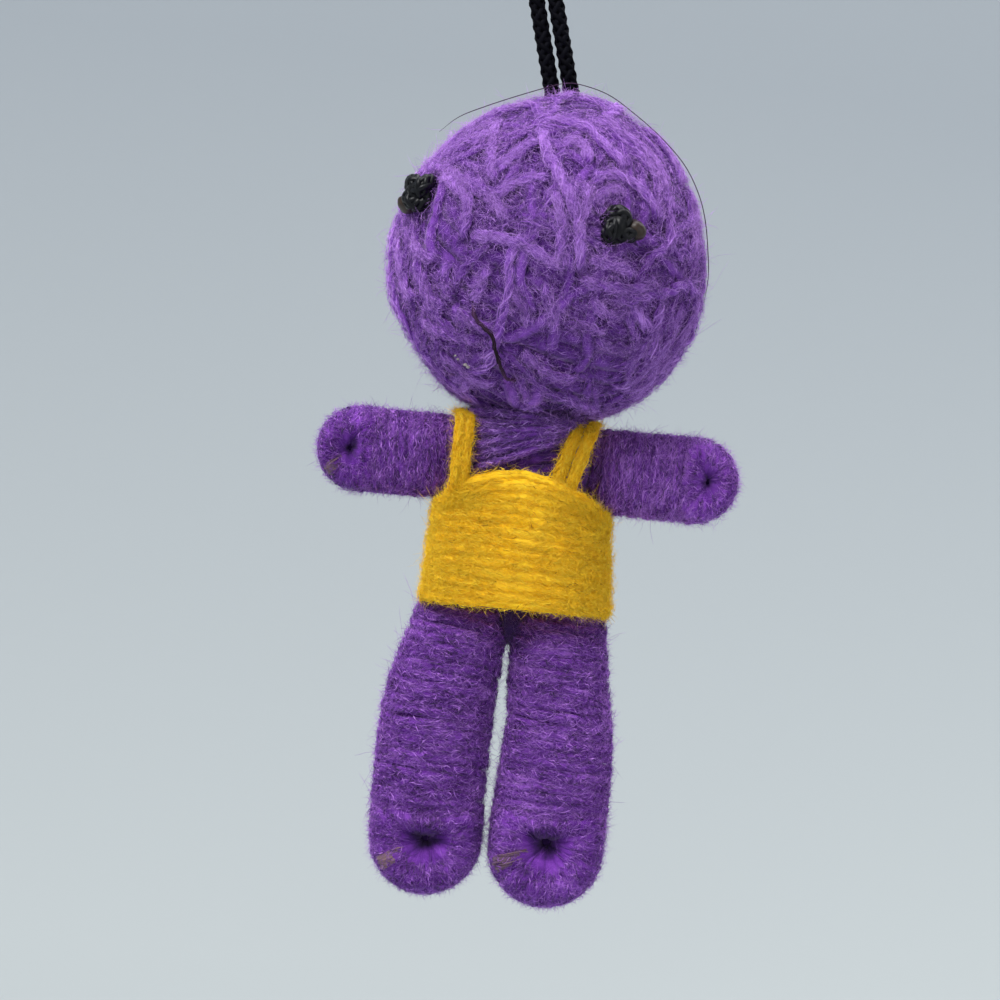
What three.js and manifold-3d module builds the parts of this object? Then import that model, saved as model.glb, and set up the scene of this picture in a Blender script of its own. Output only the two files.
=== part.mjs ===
// A wound-yarn doll charm that hangs from a loop of cord, in millimetres with +Z up.
// The origin is the inside crest of the cord loop. The doll faces -Y, and its own left is +X.

import * as THREE from 'three';
import { mergeVertices } from 'three/addons/utils/BufferGeometryUtils.js';
import Module from 'manifold-3d';

const wasm = await Module();
wasm.setup();

// Clearances
const GAP = 0.3;
const SELF_GAP = 0.45;

// Cord loop: strand size, spacing at the head, and drop from the crest to the swing axis
const CORD_D = 1.5;
const STRAND_SPACING = 1.76;
const LOOP_DROP = 32;
const KNOT_D = 4.4;
const KNOT_DEPTH = 5;

// Head: outside of the yarn, flat yarn section, and the criss-cross winding
const HEAD_D = 29.6;
const HEAD_YARN_WIDTH = 1.0;
const HEAD_YARN_THICKNESS = 0.5;
const HEAD_LOOPS = 9;
const HEAD_INCLINE = 64;
const HEAD_CROSSOVER = 10;
const HEAD_TURN = 16.5;

// Face: knotted-cord eyes with a melted tip, and a loose dark thread
const EYE_SPREAD = 41.2;
const EYE_ELEVATION = 12.7;
const EYE_SLANT = 3.7;
const EYE_D = 3.4;
const EYE_TIP_D = 2.2;
const EYE_TIP_REACH = 1.7;
const THREAD_D = 0.45;
const THREAD_TOP = [-25, -25];
const THREAD_FOOT = [-9, -56];
const THREAD_BOW = 4;

// Torso: neck, chest between the arms, and the wound trunk below them
const NECK_D = 5.8;
const NECK_LENGTH = 2.1;
const CHEST_WIDTH = 11.2;
const CHEST_DEPTH = 8.8;
const TRUNK_TOP_WIDTH = 13.6;
const TRUNK_HEM_WIDTH = 15.6;
const TRUNK_DEPTH = 9.8;
const TRUNK_HEIGHT = 8.3;
const TRUNK_YARN_D = 0.8;
const TRUNK_TURNS = 6.5;
const TRUNK_ARCH = 4.2;
const TRUNK_ARCH_ANGLE = 50;

// Straps: flat pairs of yarn over the shoulders
const STRAP_WIDTH = 2.1;
const STRAP_THICKNESS = 0.8;
const STRAP_OVERHANG = 0.8;
const STRAP_DROP = 5.2;
const STRAP_LEAN_LEFT = 1.2;
const STRAP_LEAN_RIGHT = 0.2;

// Arms: pivot to fingertip, size across the loop at each end, and size through it
const ARM = {
  reach: 10.25, rootWidth: 7.4, tipWidth: 7.5, depth: 6.1, yarnD: 0.7, windStart: 0.75, turns: 4,
};

// Legs, made the same way and hung from the hem
const LEG = {
  reach: 22.6, rootWidth: 8.8, tipWidth: 10.2, depth: 7.9, yarnD: 0.7, windStart: 0.75, turns: 14,
};
const LEG_GAP = 1.1;

// Wire inside the doll, and the dimple at the eye of each limb's wire loop
const WIRE_D = 0.9;
const WIRE_EYE_R = 1.6;
const WIRE_ROOT_SPREAD = 0.9;
const DIMPLE_D = 2.2;
const DIMPLE_DEPTH = 1.3;
const NECK_WIRE_UP = 7;
const HIP_WIRE_RISE = 4.5;

// Facets
const TUBE_SIDES = 5;
const CORD_SIDES = 8;
const WIRE_SIDES = 6;
const LOFT_SIDES = 20;
const LIMB_STEPS = 12;
const TRUNK_STEPS = 22;
const HEAD_STEPS = 22;
const HEAD_SEGMENTS = [28, 18];
const HAIRPIN_STEPS = 16;
const HIP_WIRE_STEPS = 14;

// Finishes
const material = (color, roughness, metalness = 0) =>
  new THREE.MeshStandardMaterial({ color, roughness, metalness });
const purpleYarn = () => material(0x7344a5, 0.9);
const yellowYarn = () => material(0xf0b419, 0.9);
const blackCord = () => material(0x08080d, 0.7);
const meltedCord = () => material(0x17120f, 0.45);
const darkThread = () => material(0x2e1c18, 0.8);
const steelWire = () => material(0x9a9a9c, 0.35, 1);

// Heights that follow from the sizes, measured from the head's centre
const rad = THREE.MathUtils.degToRad;
const headOuterR = HEAD_D / 2;
const upperLayerR = headOuterR - HEAD_YARN_THICKNESS / 2;
const lowerLayerR = upperLayerR - HEAD_YARN_THICKNESS - SELF_GAP;
const headCoreR = lowerLayerR - HEAD_YARN_THICKNESS / 2 - GAP;
const swingZ = headOuterR;
const neckTopZ = -headCoreR - GAP;
const shoulderZ = neckTopZ - NECK_LENGTH;
const strapBottomZ = shoulderZ + GAP;
const armZ = strapBottomZ - GAP - ARM.rootWidth / 2;
const ledgeZ = armZ - Math.max(ARM.rootWidth, ARM.tipWidth) / 2 - GAP;
const hemZ = ledgeZ - TRUNK_HEIGHT;
const hipZ = hemZ - TRUNK_YARN_D / 2 - GAP - LEG.depth / 2;
const shoulderX = CHEST_WIDTH / 2 + GAP + ARM.depth / 2;
const hipX = LEG_GAP / 2 + LEG.rootWidth / 2;
const wireR = WIRE_D / 2;

// Solids, joined and cut

function toSolid(geometry) {
  const bare = geometry.clone();
  for (const name of Object.keys(bare.attributes)) {
    if (name !== 'position') {
      bare.deleteAttribute(name);
    }
  }
  const merged = mergeVertices(bare, 1e-4);
  const mesh = new wasm.Mesh({
    numProp: 3,
    vertProperties: new Float32Array(merged.attributes.position.array),
    triVerts: new Uint32Array(merged.index.array),
  });
  return new wasm.Manifold(mesh);
}

function toGeometry(solid) {
  const mesh = solid.getMesh();
  const geometry = new THREE.BufferGeometry();
  geometry.setAttribute('position', new THREE.BufferAttribute(mesh.vertProperties, 3));
  geometry.setIndex(new THREE.BufferAttribute(mesh.triVerts, 1));
  geometry.computeVertexNormals();
  return geometry;
}

function cut(geometry, tools) {
  const solid = tools.reduce((left, tool) => left.subtract(toSolid(tool)), toSolid(geometry));
  return toGeometry(solid);
}

function join(geometries) {
  return toGeometry(geometries.map(toSolid).reduce((all, next) => all.add(next)));
}

// A closed skin over rings that all have the same number of points, capped at both ends
function skin(rings) {
  const sides = rings[0].length;
  const positions = rings.flat().flatMap((point) => point.toArray());
  const first = rings.length * sides;
  const centre = (ring) => ring.reduce((sum, p) => sum.add(p), new THREE.Vector3()).divideScalar(sides);
  positions.push(...centre(rings[0]).toArray(), ...centre(rings.at(-1)).toArray());
  const index = [];
  for (let i = 0; i < rings.length - 1; i += 1) {
    for (let k = 0; k < sides; k += 1) {
      const a = i * sides + k;
      const b = i * sides + ((k + 1) % sides);
      index.push(a, b, a + sides, b, b + sides, a + sides);
    }
  }
  const last = (rings.length - 1) * sides;
  for (let k = 0; k < sides; k += 1) {
    const next = (k + 1) % sides;
    index.push(first, next, k, first + 1, last + k, last + next);
  }
  const geometry = new THREE.BufferGeometry();
  geometry.setAttribute('position', new THREE.Float32BufferAttribute(positions, 3));
  geometry.setIndex(signedVolume(positions, index) < 0 ? index.reverse() : index);
  return geometry;
}

function signedVolume(positions, index) {
  const corner = (i) => new THREE.Vector3().fromArray(positions, 3 * i);
  let volume = 0;
  for (let i = 0; i < index.length; i += 3) {
    volume += corner(index[i]).dot(corner(index[i + 1]).cross(corner(index[i + 2])));
  }
  return volume;
}

// Rings of a tube whose section is `across` wide and `through` thick, with `outward` at each point
function tubeRings(points, outward, across, through, sides) {
  return points.map((point, i) => {
    const before = points[Math.max(i - 1, 0)];
    const after = points[Math.min(i + 1, points.length - 1)];
    const along = after.clone().sub(before).normalize();
    const up = outward[i].clone().addScaledVector(along, -outward[i].dot(along)).normalize();
    const side = along.clone().cross(up);
    return Array.from({ length: sides }, (_, k) => {
      const angle = (2 * Math.PI * k) / sides;
      return point.clone()
        .addScaledVector(up, (through / 2) * Math.cos(angle))
        .addScaledVector(side, (across / 2) * Math.sin(angle));
    });
  });
}

// The least distance between points of a tube that lie more than half a loop apart along it
function selfGap(rings, stepsPerLoop) {
  const skip = Math.floor(stepsPerLoop / 2);
  let least = Infinity;
  rings.forEach((ring, i) => {
    for (let j = i + skip; j < rings.length; j += 1) {
      for (const p of ring) {
        for (const q of rings[j]) {
          least = Math.min(least, p.distanceTo(q));
        }
      }
    }
  });
  return least;
}

// One unbroken wound tube, with each end running straight for one tube width
function windingGeometry(name, place, count, stepsPerLoop, across, through) {
  const points = Array.from({ length: count + 1 }, (_, i) => place(i / stepsPerLoop));
  const runOut = (end, beside) =>
    end.clone().add(end.clone().sub(beside).setLength(across));
  const route = [runOut(points[0], points[1]), ...points, runOut(points.at(-1), points.at(-2))];
  const axisPoint = (p) => new THREE.Vector3(0, 0, p.z);
  const outward = route.map((p) => p.clone().sub(axisPoint(p)).normalize());
  const rings = tubeRings(route, outward, across, through, TUBE_SIDES);
  console.log(`${name}: least gap to itself ${selfGap(rings, stepsPerLoop).toFixed(2)} mm`);
  return skin(rings);
}

// A point of a rounded outline: power 2 is an ellipse, and a higher one is squarer
function outlinePoint(angle, halfX, halfY, power) {
  const bend = (value) => Math.sign(value) * Math.abs(value) ** (2 / power);
  return [halfX * bend(Math.cos(angle)), halfY * bend(Math.sin(angle))];
}

function loft(sections) {
  const rings = sections.map(({ z, shift = 0, halfX, halfY, power = 2 }) =>
    Array.from({ length: LOFT_SIDES }, (_, k) => {
      const [x, y] = outlinePoint((2 * Math.PI * k) / LOFT_SIDES, halfX, halfY, power);
      return new THREE.Vector3(shift + x, y, z);
    }));
  return skin(rings);
}

function wireAlong(points, diameter, steps, sides = WIRE_SIDES) {
  const path = new THREE.CatmullRomCurve3(points, false, 'centripetal');
  const section = new THREE.Shape();
  section.absarc(0, 0, diameter / 2, 0, 2 * Math.PI);
  return new THREE.ExtrudeGeometry(section, {
    steps, extrudePath: path, curveSegments: sides / 2,
  });
}

function ballAt(diameter, x, y, z, widthSegments = 10, heightSegments = 7) {
  return new THREE.SphereGeometry(diameter / 2, widthSegments, heightSegments).translate(x, y, z);
}

function barAlongZ(diameter, bottom, top, sides = WIRE_SIDES) {
  return new THREE.CylinderGeometry(diameter / 2, diameter / 2, top - bottom, sides)
    .rotateX(Math.PI / 2)
    .translate(0, 0, (top + bottom) / 2);
}

function named(name, geometry, finish) {
  const mesh = new THREE.Mesh(geometry, finish);
  mesh.name = name;
  return mesh;
}

const lerp = THREE.MathUtils.lerp;
const smooth = (t) => THREE.MathUtils.smoothstep(t, 0, 1);

// Cord loop, whose two strands end on the swing axis in half balls

// Route of the free loop as [x, height above the swing axis], up one strand and down the other
const CORD_ROUTE = [
  [-0.88, 0], [-1.68, 3], [-2.49, 6], [-3.29, 9], [-4.08, 12], [-4.8, 15], [-5.35, 18], [-5.75, 21],
  [-5.75, 24], [-5.2, 27], [-4.05, 29.7], [-2.35, 31.8], [0, 32.75], [2.2, 31.8], [2.9, 29.7],
  [2.1, 27], [0.6, 24], [-0.85, 21], [-1.85, 18], [-2.3, 15], [-2.12, 12], [-1.53, 9], [-0.73, 6],
  [0.08, 3], [0.88, 0],
];
const CORD_STEPS = 30;

function hangingCord() {
  const points = CORD_ROUTE.map(([x, height]) => new THREE.Vector3(x, 0, height - LOOP_DROP));
  const ends = [points[0], points.at(-1)];
  const balls = ends.map((end) => ballAt(CORD_D, end.x, end.y, end.z, CORD_SIDES, CORD_SIDES));
  return join([wireAlong(points, CORD_D, CORD_STEPS, CORD_SIDES), ...balls]);
}

// The knot that holds the cord inside the head, with its two strands up to the swing axis
function cordKnot(grow = 0) {
  const stubTop = swingZ - CORD_D / 2 - GAP + grow;
  const knotZ = headCoreR - KNOT_DEPTH;
  const strand = (side) =>
    barAlongZ(CORD_D + 2 * grow, knotZ, stubTop, CORD_SIDES).translate((side * STRAND_SPACING) / 2, 0, 0);
  return join([ballAt(KNOT_D + 2 * grow, 0, 0, knotZ), strand(-1), strand(1)]);
}

// Head

function headCore() {
  const ball = new THREE.SphereGeometry(headCoreR, ...HEAD_SEGMENTS).rotateX(Math.PI / 2);
  const wireHole = barAlongZ(WIRE_D + 2 * GAP, -headCoreR - GAP, -headCoreR + NECK_WIRE_UP + GAP);
  return cut(ball, [wireHole, cordKnot(GAP)]);
}

// Slanting loops round the ball: each rises in the lower layer and falls in the upper one
function headWindingPlace(turn) {
  const angle = 2 * Math.PI * turn;
  const incline = rad(HEAD_INCLINE);
  const latitude = Math.asin(Math.sin(incline) * Math.sin(angle));
  const longitude = Math.atan2(Math.cos(incline) * Math.sin(angle), Math.cos(angle))
    + angle / HEAD_LOOPS;
  const fromPeak = THREE.MathUtils.euclideanModulo(turn * 360 - 90, 360);
  const climb = smooth((fromPeak + HEAD_CROSSOVER) / (2 * HEAD_CROSSOVER))
    - smooth((fromPeak - 180 + HEAD_CROSSOVER) / (2 * HEAD_CROSSOVER))
    + smooth((fromPeak - 360 + HEAD_CROSSOVER) / (2 * HEAD_CROSSOVER));
  const radius = lerp(lowerLayerR, upperLayerR, climb);
  return new THREE.Vector3(
    radius * Math.cos(latitude) * Math.cos(longitude),
    radius * Math.cos(latitude) * Math.sin(longitude),
    radius * Math.sin(latitude),
  );
}

function headWindingRings(grow = 0) {
  const count = Math.round((HEAD_LOOPS - 0.25) * HEAD_STEPS);
  const points = Array.from({ length: count + 1 }, (_, i) => headWindingPlace(i / HEAD_STEPS));
  const outward = points.map((p) => p.clone().normalize());
  const through = HEAD_YARN_THICKNESS + 2 * grow;
  return tubeRings(points, outward, HEAD_YARN_WIDTH + 2 * grow, through, TUBE_SIDES + 1);
}

function headWinding() {
  const rings = headWindingRings();
  console.log(`head_winding: least gap to itself ${selfGap(rings, HEAD_STEPS / 2).toFixed(2)} mm`);
  return skin(rings);
}

function onHead(azimuth, elevation, radius) {
  const flat = radius * Math.cos(rad(elevation));
  return new THREE.Vector3(
    flat * Math.sin(rad(azimuth)),
    -flat * Math.cos(rad(azimuth)),
    radius * Math.sin(rad(elevation)),
  );
}

// A knot of cord seated on the head's core between the strands, with its melted end beside it
function eyeKnot(side) {
  const azimuth = side * EYE_SPREAD - HEAD_TURN;
  const elevation = EYE_ELEVATION - side * EYE_SLANT;
  const place = onHead(azimuth, elevation, headOuterR);
  const beside = onHead(azimuth + 90, 0, EYE_TIP_REACH);
  const tip = place.clone().addScaledVector(beside, side);
  tip.z -= side < 0 ? EYE_TIP_D / 3 : 0;
  const root = onHead(azimuth, elevation, headCoreR);
  const stem = wireAlong([root, root.clone().lerp(place, 0.5), place], EYE_D * 0.55, 2);
  const knot = join([ballAt(EYE_D, ...place.toArray()), ballAt(EYE_TIP_D, ...tip.toArray()), stem]);
  const seat = new THREE.SphereGeometry(headCoreR + GAP, ...HEAD_SEGMENTS).rotateX(Math.PI / 2);
  const cleared = toSolid(cut(knot, [seat, skin(headWindingRings(GAP))]));
  const bodies = cleared.decompose().sort((a, b) => b.volume() - a.volume());
  return toGeometry(bodies[0]);
}

function faceThread() {
  const radius = headOuterR + GAP + THREAD_D / 2;
  const count = 8;
  const points = Array.from({ length: count + 1 }, (_, i) => {
    const t = i / count;
    const azimuth = lerp(THREAD_TOP[0], THREAD_FOOT[0], t) + THREAD_BOW * Math.sin(2 * Math.PI * t);
    return onHead(azimuth, lerp(THREAD_TOP[1], THREAD_FOOT[1], t), radius);
  });
  const outward = points.map((p) => p.clone().normalize());
  return skin(tubeRings(points, outward, THREAD_D, THREAD_D, TUBE_SIDES));
}

// Torso

const trunkHalfX = (z) =>
  lerp(TRUNK_TOP_WIDTH, TRUNK_HEM_WIDTH, THREE.MathUtils.clamp((ledgeZ - z) / TRUNK_HEIGHT, 0, 1)) / 2;
const TRUNK_POWER = 2.4;
const CHEST_POWER = 4;

function shoulderWirePath(reach) {
  return [-reach, 0, reach].map((x) => new THREE.Vector3(x, 0, armZ));
}

function hipWirePath(bottom) {
  const top = hemZ + HIP_WIRE_RISE;
  const corner = WIRE_D;
  return [
    [-hipX, bottom], [-hipX, top - corner], [corner - hipX, top],
    [hipX - corner, top], [hipX, top - corner], [hipX, bottom],
  ].map(([x, z]) => new THREE.Vector3(x, 0, z));
}

function torsoCore() {
  const chest = { halfX: CHEST_WIDTH / 2, halfY: CHEST_DEPTH / 2, power: CHEST_POWER };
  const trunk = (z) => ({ z, halfX: trunkHalfX(z), halfY: TRUNK_DEPTH / 2, power: TRUNK_POWER });
  const neckR = NECK_D / 2;
  const step = GAP / 2;
  const body = loft([
    { z: neckTopZ, halfX: neckR, halfY: neckR },
    { z: shoulderZ + step, halfX: neckR, halfY: neckR },
    { ...chest, z: shoulderZ, halfY: chest.halfY * 0.8 },
    { ...chest, z: shoulderZ - CHEST_DEPTH / 8 },
    { ...chest, z: ledgeZ },
    trunk(ledgeZ - step),
    trunk(lerp(ledgeZ, hemZ, 0.5)),
    trunk(hemZ),
  ]);
  const channelD = WIRE_D + 2 * GAP;
  const neckHole = barAlongZ(channelD, neckWireBottom() - GAP, neckTopZ + GAP);
  const shoulderHole = wireAlong(shoulderWirePath(CHEST_WIDTH), channelD, 2);
  const hipHole = wireAlong(hipWirePath(hemZ - GAP), channelD, HIP_WIRE_STEPS);
  return cut(body, [neckHole, shoulderHole, hipHole]);
}

const neckWireBottom = () => armZ + wireR + 2 * GAP + wireR;

function neckWire() {
  return barAlongZ(WIRE_D, neckWireBottom(), -headCoreR + NECK_WIRE_UP);
}

function shoulderWire() {
  const ends = [-shoulderX, shoulderX].map((x) => ballAt(WIRE_D, x, 0, armZ, WIRE_SIDES, WIRE_SIDES));
  return join([wireAlong(shoulderWirePath(shoulderX), WIRE_D, 2), ...ends]);
}

function hipWire() {
  const ends = [-hipX, hipX].map((x) => ballAt(WIRE_D, x, 0, hipZ, WIRE_SIDES, WIRE_SIDES));
  return join([wireAlong(hipWirePath(hipZ), WIRE_D, HIP_WIRE_STEPS), ...ends]);
}

// Turns round the trunk, which pass under the arms and rise at the middle of the front and back
function torsoWinding() {
  const yarnR = TRUNK_YARN_D / 2;
  const sideTop = ledgeZ - yarnR;
  const arch = (angle) => {
    const fromMiddle = Math.abs(Math.asin(Math.sin(angle + Math.PI / 2)));
    const fromFront = Math.PI / 2 - fromMiddle;
    return smooth(1 - fromFront / rad(TRUNK_ARCH_ANGLE));
  };
  const place = (turn) => {
    const angle = 2 * Math.PI * turn;
    const share = turn / TRUNK_TURNS;
    const sideZ = lerp(sideTop, hemZ, share);
    const rise = lerp(TRUNK_ARCH, 0, share) * arch(angle);
    const reach = GAP + yarnR;
    const halfY = TRUNK_DEPTH / 2 + reach;
    const [y, x] = outlinePoint(angle, halfY, trunkHalfX(sideZ) + reach, TRUNK_POWER);
    return new THREE.Vector3(x, -y, sideZ + rise);
  };
  const count = Math.round(TRUNK_TURNS * TRUNK_STEPS);
  return windingGeometry('torso_winding', place, count, TRUNK_STEPS, TRUNK_YARN_D, TRUNK_YARN_D);
}

// A flat band over one shoulder, from the front of the chest to the back of it
function strap(side, lean) {
  const innerY = CHEST_DEPTH / 2 + GAP;
  const outerY = innerY + STRAP_THICKNESS;
  const top = strapBottomZ + STRAP_THICKNESS;
  const foot = shoulderZ - STRAP_DROP;
  const outline = new THREE.Shape();
  outline.moveTo(-outerY, foot);
  outline.lineTo(-outerY, top - STRAP_THICKNESS);
  outline.absarc(-innerY, strapBottomZ, STRAP_THICKNESS, Math.PI, Math.PI / 2, true);
  outline.absarc(innerY, strapBottomZ, STRAP_THICKNESS, Math.PI / 2, 0, true);
  outline.lineTo(outerY, foot);
  outline.lineTo(innerY, foot);
  outline.lineTo(innerY, strapBottomZ);
  outline.lineTo(-innerY, strapBottomZ);
  outline.lineTo(-innerY, foot);
  const band = new THREE.ExtrudeGeometry(outline, {
    depth: STRAP_WIDTH, bevelEnabled: false, curveSegments: 4,
  });
  band.translate(0, 0, -STRAP_WIDTH / 2);
  band.applyMatrix4(new THREE.Matrix4().makeBasis(
    new THREE.Vector3(0, 1, 0), new THREE.Vector3(0, 0, 1), new THREE.Vector3(1, 0, 0),
  ));
  const strapX = CHEST_WIDTH / 2 - STRAP_WIDTH / 2 + STRAP_OVERHANG;
  const place = band.attributes.position;
  for (let i = 0; i < place.count; i += 1) {
    const down = Math.max(0, strapBottomZ - place.getZ(i)) / STRAP_DROP;
    const inward = place.getY(i) < 0 ? lean * down : 0;
    place.setX(i, place.getX(i) + side * (strapX - inward));
  }
  return band;
}

// Limbs: built hanging down -Z from a pivot on X, wide across X and thinner through Y

function limbShape(limb, side) {
  const rootHalf = limb.rootWidth / 2;
  const tipHalf = limb.tipWidth / 2;
  const halfY = limb.depth / 2;
  const eyeZ = tipHalf - limb.reach;
  const windTop = -limb.windStart;
  const pitch = limb.yarnD + SELF_GAP;
  const windBottom = windTop - pitch * limb.turns - limb.yarnD;
  const halfX = (z) => lerp(rootHalf, tipHalf, smooth(THREE.MathUtils.clamp(z / eyeZ, 0, 1)));
  const shift = (z) => side * (halfX(z) - rootHalf);
  return { rootHalf, tipHalf, halfY, eyeZ, windTop, windBottom, pitch, halfX, shift };
}

function limbWirePath(shape, rootZ) {
  const eyeX = shape.shift(shape.eyeZ);
  const bend = [0, 30, 60, 90, 120, 150, 180].map((degrees) => [
    eyeX + WIRE_EYE_R * Math.cos(rad(degrees)),
    shape.eyeZ - WIRE_EYE_R * Math.sin(rad(degrees)),
  ]);
  return [[WIRE_ROOT_SPREAD, rootZ], ...bend, [-WIRE_ROOT_SPREAD, rootZ]]
    .map(([x, z]) => new THREE.Vector3(x, 0, z));
}

function limbCore(limb, shape) {
  const { halfY, eyeZ, windTop, windBottom, halfX, shift, tipHalf } = shape;
  const recess = limb.yarnD + GAP;
  const step = GAP / 2;
  const full = (z, halfDepth = halfY) => ({ z, shift: shift(z), halfX: halfX(z), halfY: halfDepth });
  const wound = (z) => ({ ...full(z), halfX: halfX(z) - recess, halfY: halfY - recess });
  const rootAngles = [70, 50, 30, 12, 0];
  const root = rootAngles.map((degrees) =>
    full(halfY * Math.sin(rad(degrees)), halfY * Math.cos(rad(degrees))));
  const tipAngles = [15, 32, 48, 62, 75];
  const tip = tipAngles.map((degrees) => ({
    z: eyeZ - tipHalf * Math.sin(rad(degrees)),
    shift: shift(eyeZ),
    halfX: tipHalf * Math.cos(rad(degrees)),
    halfY: halfY * Math.cos(rad(degrees)) ** 0.7,
  }));
  const end = { ...tip.at(-1), z: -limb.reach, halfX: tip.at(-1).halfX * 0.4, halfY: tip.at(-1).halfY * 0.4 };
  const body = loft([
    ...root, full(windTop + step), wound(windTop), wound(lerp(windTop, windBottom, 0.5)),
    wound(windBottom), full(windBottom - step), full(Math.min(eyeZ, windBottom - 2 * step)), ...tip, end,
  ]);
  const slotHalf = wireR + GAP;
  const slot = new THREE.BoxGeometry(2 * slotHalf, 4 * halfY, 2 * halfY)
    .translate(0, 0, halfY - slotHalf);
  const channel = wireAlong(limbWirePath(shape, -slotHalf / 2), WIRE_D + 2 * GAP, HAIRPIN_STEPS);
  const dimple = (face) => new THREE.ConeGeometry(DIMPLE_D / 2, DIMPLE_DEPTH, 10)
    .scale(1, -face, 1)
    .translate(shift(eyeZ), face * (halfY - DIMPLE_DEPTH / 2 + step), eyeZ);
  return cut(body, [slot, channel, orient(dimple(1)), orient(dimple(-1))]);
}

// Turns a geometry's faces outward after a mirrored scale
function orient(geometry) {
  const merged = mergeVertices(bareCopy(geometry), 1e-4);
  const index = Array.from(merged.index.array);
  if (signedVolume(merged.attributes.position.array, index) < 0) {
    index.reverse();
  }
  merged.setIndex(index);
  return merged;
}

function bareCopy(geometry) {
  const bare = geometry.clone();
  bare.deleteAttribute('normal');
  bare.deleteAttribute('uv');
  return bare;
}

function limbWinding(name, limb, shape) {
  const yarnR = limb.yarnD / 2;
  const place = (turn) => {
    const z = shape.windTop - limb.yarnD - shape.pitch * turn;
    const angle = 2 * Math.PI * turn;
    const x = shape.shift(z) + (shape.halfX(z) - yarnR) * Math.sin(angle);
    return new THREE.Vector3(x, -(shape.halfY - yarnR) * Math.cos(angle), z);
  };
  const count = Math.round((limb.turns - 1) * LIMB_STEPS);
  return windingGeometry(name, place, count, LIMB_STEPS, limb.yarnD, limb.yarnD);
}

function addLimb(group, kind, limb, side, sideName) {
  const shape = limbShape(limb, side);
  const wire = wireAlong(limbWirePath(shape, -wireR - 2 * GAP), WIRE_D, HAIRPIN_STEPS);
  group.add(named(`${kind}_core_${sideName}`, limbCore(limb, shape), purpleYarn()));
  group.add(named(`${kind}_wire_${sideName}`, wire, steelWire()));
  const windingName = `${kind}_winding_${sideName}`;
  group.add(named(windingName, limbWinding(windingName, limb, shape), purpleYarn()));
}

// The whole doll, hung from the cord

const charm = new THREE.Group();
charm.add(named('hanging_cord', hangingCord(), blackCord()));

const doll = new THREE.Group();
doll.position.z = -LOOP_DROP - swingZ;
charm.add(doll);

doll.add(
  named('cord_knot', cordKnot(), blackCord()),
  named('head_core', headCore(), purpleYarn()),
  named('head_winding', headWinding(), purpleYarn()),
  named('eye_knot_right', eyeKnot(-1), meltedCord()),
  named('eye_knot_left', eyeKnot(1), meltedCord()),
  named('face_thread', faceThread(), darkThread()),
  named('neck_wire', neckWire(), steelWire()),
  named('torso_core', torsoCore(), purpleYarn()),
  named('torso_winding', torsoWinding(), yellowYarn()),
  named('strap_right', strap(-1, STRAP_LEAN_RIGHT), yellowYarn()),
  named('strap_left', strap(1, STRAP_LEAN_LEFT), yellowYarn()),
  named('shoulder_wire', shoulderWire(), steelWire()),
  named('hip_wire', hipWire(), steelWire()),
);

for (const [side, sideName] of [[-1, 'right'], [1, 'left']]) {
  const arm = new THREE.Group();
  arm.position.set(side * shoulderX, 0, armZ);
  arm.rotation.y = -side * Math.PI / 2;
  addLimb(arm, 'arm', ARM, 0, sideName);
  doll.add(arm);

  const leg = new THREE.Group();
  leg.position.set(side * hipX, 0, hipZ);
  addLimb(leg, 'leg', LEG, side, sideName);
  doll.add(leg);
}

export default charm;
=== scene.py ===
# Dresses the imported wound-yarn doll charm in yarn, cord and thread, and sets its camera, light and backdrop.

import math

import bpy
import numpy as np
from mathutils import Matrix, Vector


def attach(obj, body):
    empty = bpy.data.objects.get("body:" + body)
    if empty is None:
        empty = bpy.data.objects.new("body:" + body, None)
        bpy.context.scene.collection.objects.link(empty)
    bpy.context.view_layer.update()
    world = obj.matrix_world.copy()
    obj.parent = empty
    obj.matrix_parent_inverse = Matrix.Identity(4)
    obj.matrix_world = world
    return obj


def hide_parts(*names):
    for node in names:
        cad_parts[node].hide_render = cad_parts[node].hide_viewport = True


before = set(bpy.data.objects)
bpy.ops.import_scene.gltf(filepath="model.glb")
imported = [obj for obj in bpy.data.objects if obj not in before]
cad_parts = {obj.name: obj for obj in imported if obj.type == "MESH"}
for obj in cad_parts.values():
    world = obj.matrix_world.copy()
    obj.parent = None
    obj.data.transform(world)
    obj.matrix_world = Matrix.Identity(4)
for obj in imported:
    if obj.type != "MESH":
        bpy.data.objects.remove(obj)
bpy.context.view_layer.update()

# Sizes are in millimetres from the centre of the head, and meshes are made in metres in the shared frame
MM = 0.001
HEAD_Z = -46.8
SWING_Z = 14.8
TAU = 2 * math.pi
SEED = 41
NEVER_ZERO = 1e-9
JUST_SHORT = 1e-6

# Seeds of the pieces' random draws, counted from the first
SEEDS = {"head": 0, "eye": 10, "thread": 20, "trunk": 30, "chest": 31, "strap": 40, "arm": 50, "leg": 60}

# In pairs, a WANDER or MOTTLE is the length of its waves and its size, an EASE is its start and its length,
# TINTS are their middle and their spread, and other pairs for random draws are their ranges
WANDER_SHARES = (0.6, 0.3, 0.17)
WANDER_WAVES = (1.5, 2.2)

# Yarn: a soft body under fibres that twist round it, alone or as two plies
FIBRE_SIDES = 3
CORE_SIDES = 6
CORE_SHARE = 0.95
# The body is painted a little darker than its fibres, as shade under them
CORE_SHADE = 0.04
CORE_MOTTLE = (4, 0.05)
FINE_FIBRE = 0.045
FIBRE_STRAY = 0.3
FIBRE_WANDER = (8, 0.6)
FIBRE_DEPTH = (0.78, 1.02)
DEPTH_WANDER = (5, 0.1)
FIBRE_SIZES = (0.75, 1.3)
SIZE_WANDER = (4, 0.2)
FIBRE_MOTTLE = (4, 0.07)
YARN_CRIMP = 0.09
# Fibres are painted lighter on top of the yarn and darker down its sides, as light and shade, about a middle
# level
YARN_RELIEF_SHADE = 0.14
RELIEF_SHADE_LEVEL = 0.5
PLY_LAY = 3.6
PLY_RISE = 0.16
PLY_REACH = 0.2
PLY_SHARE = 0.62
PLY_FIBRE = 0.085

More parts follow.
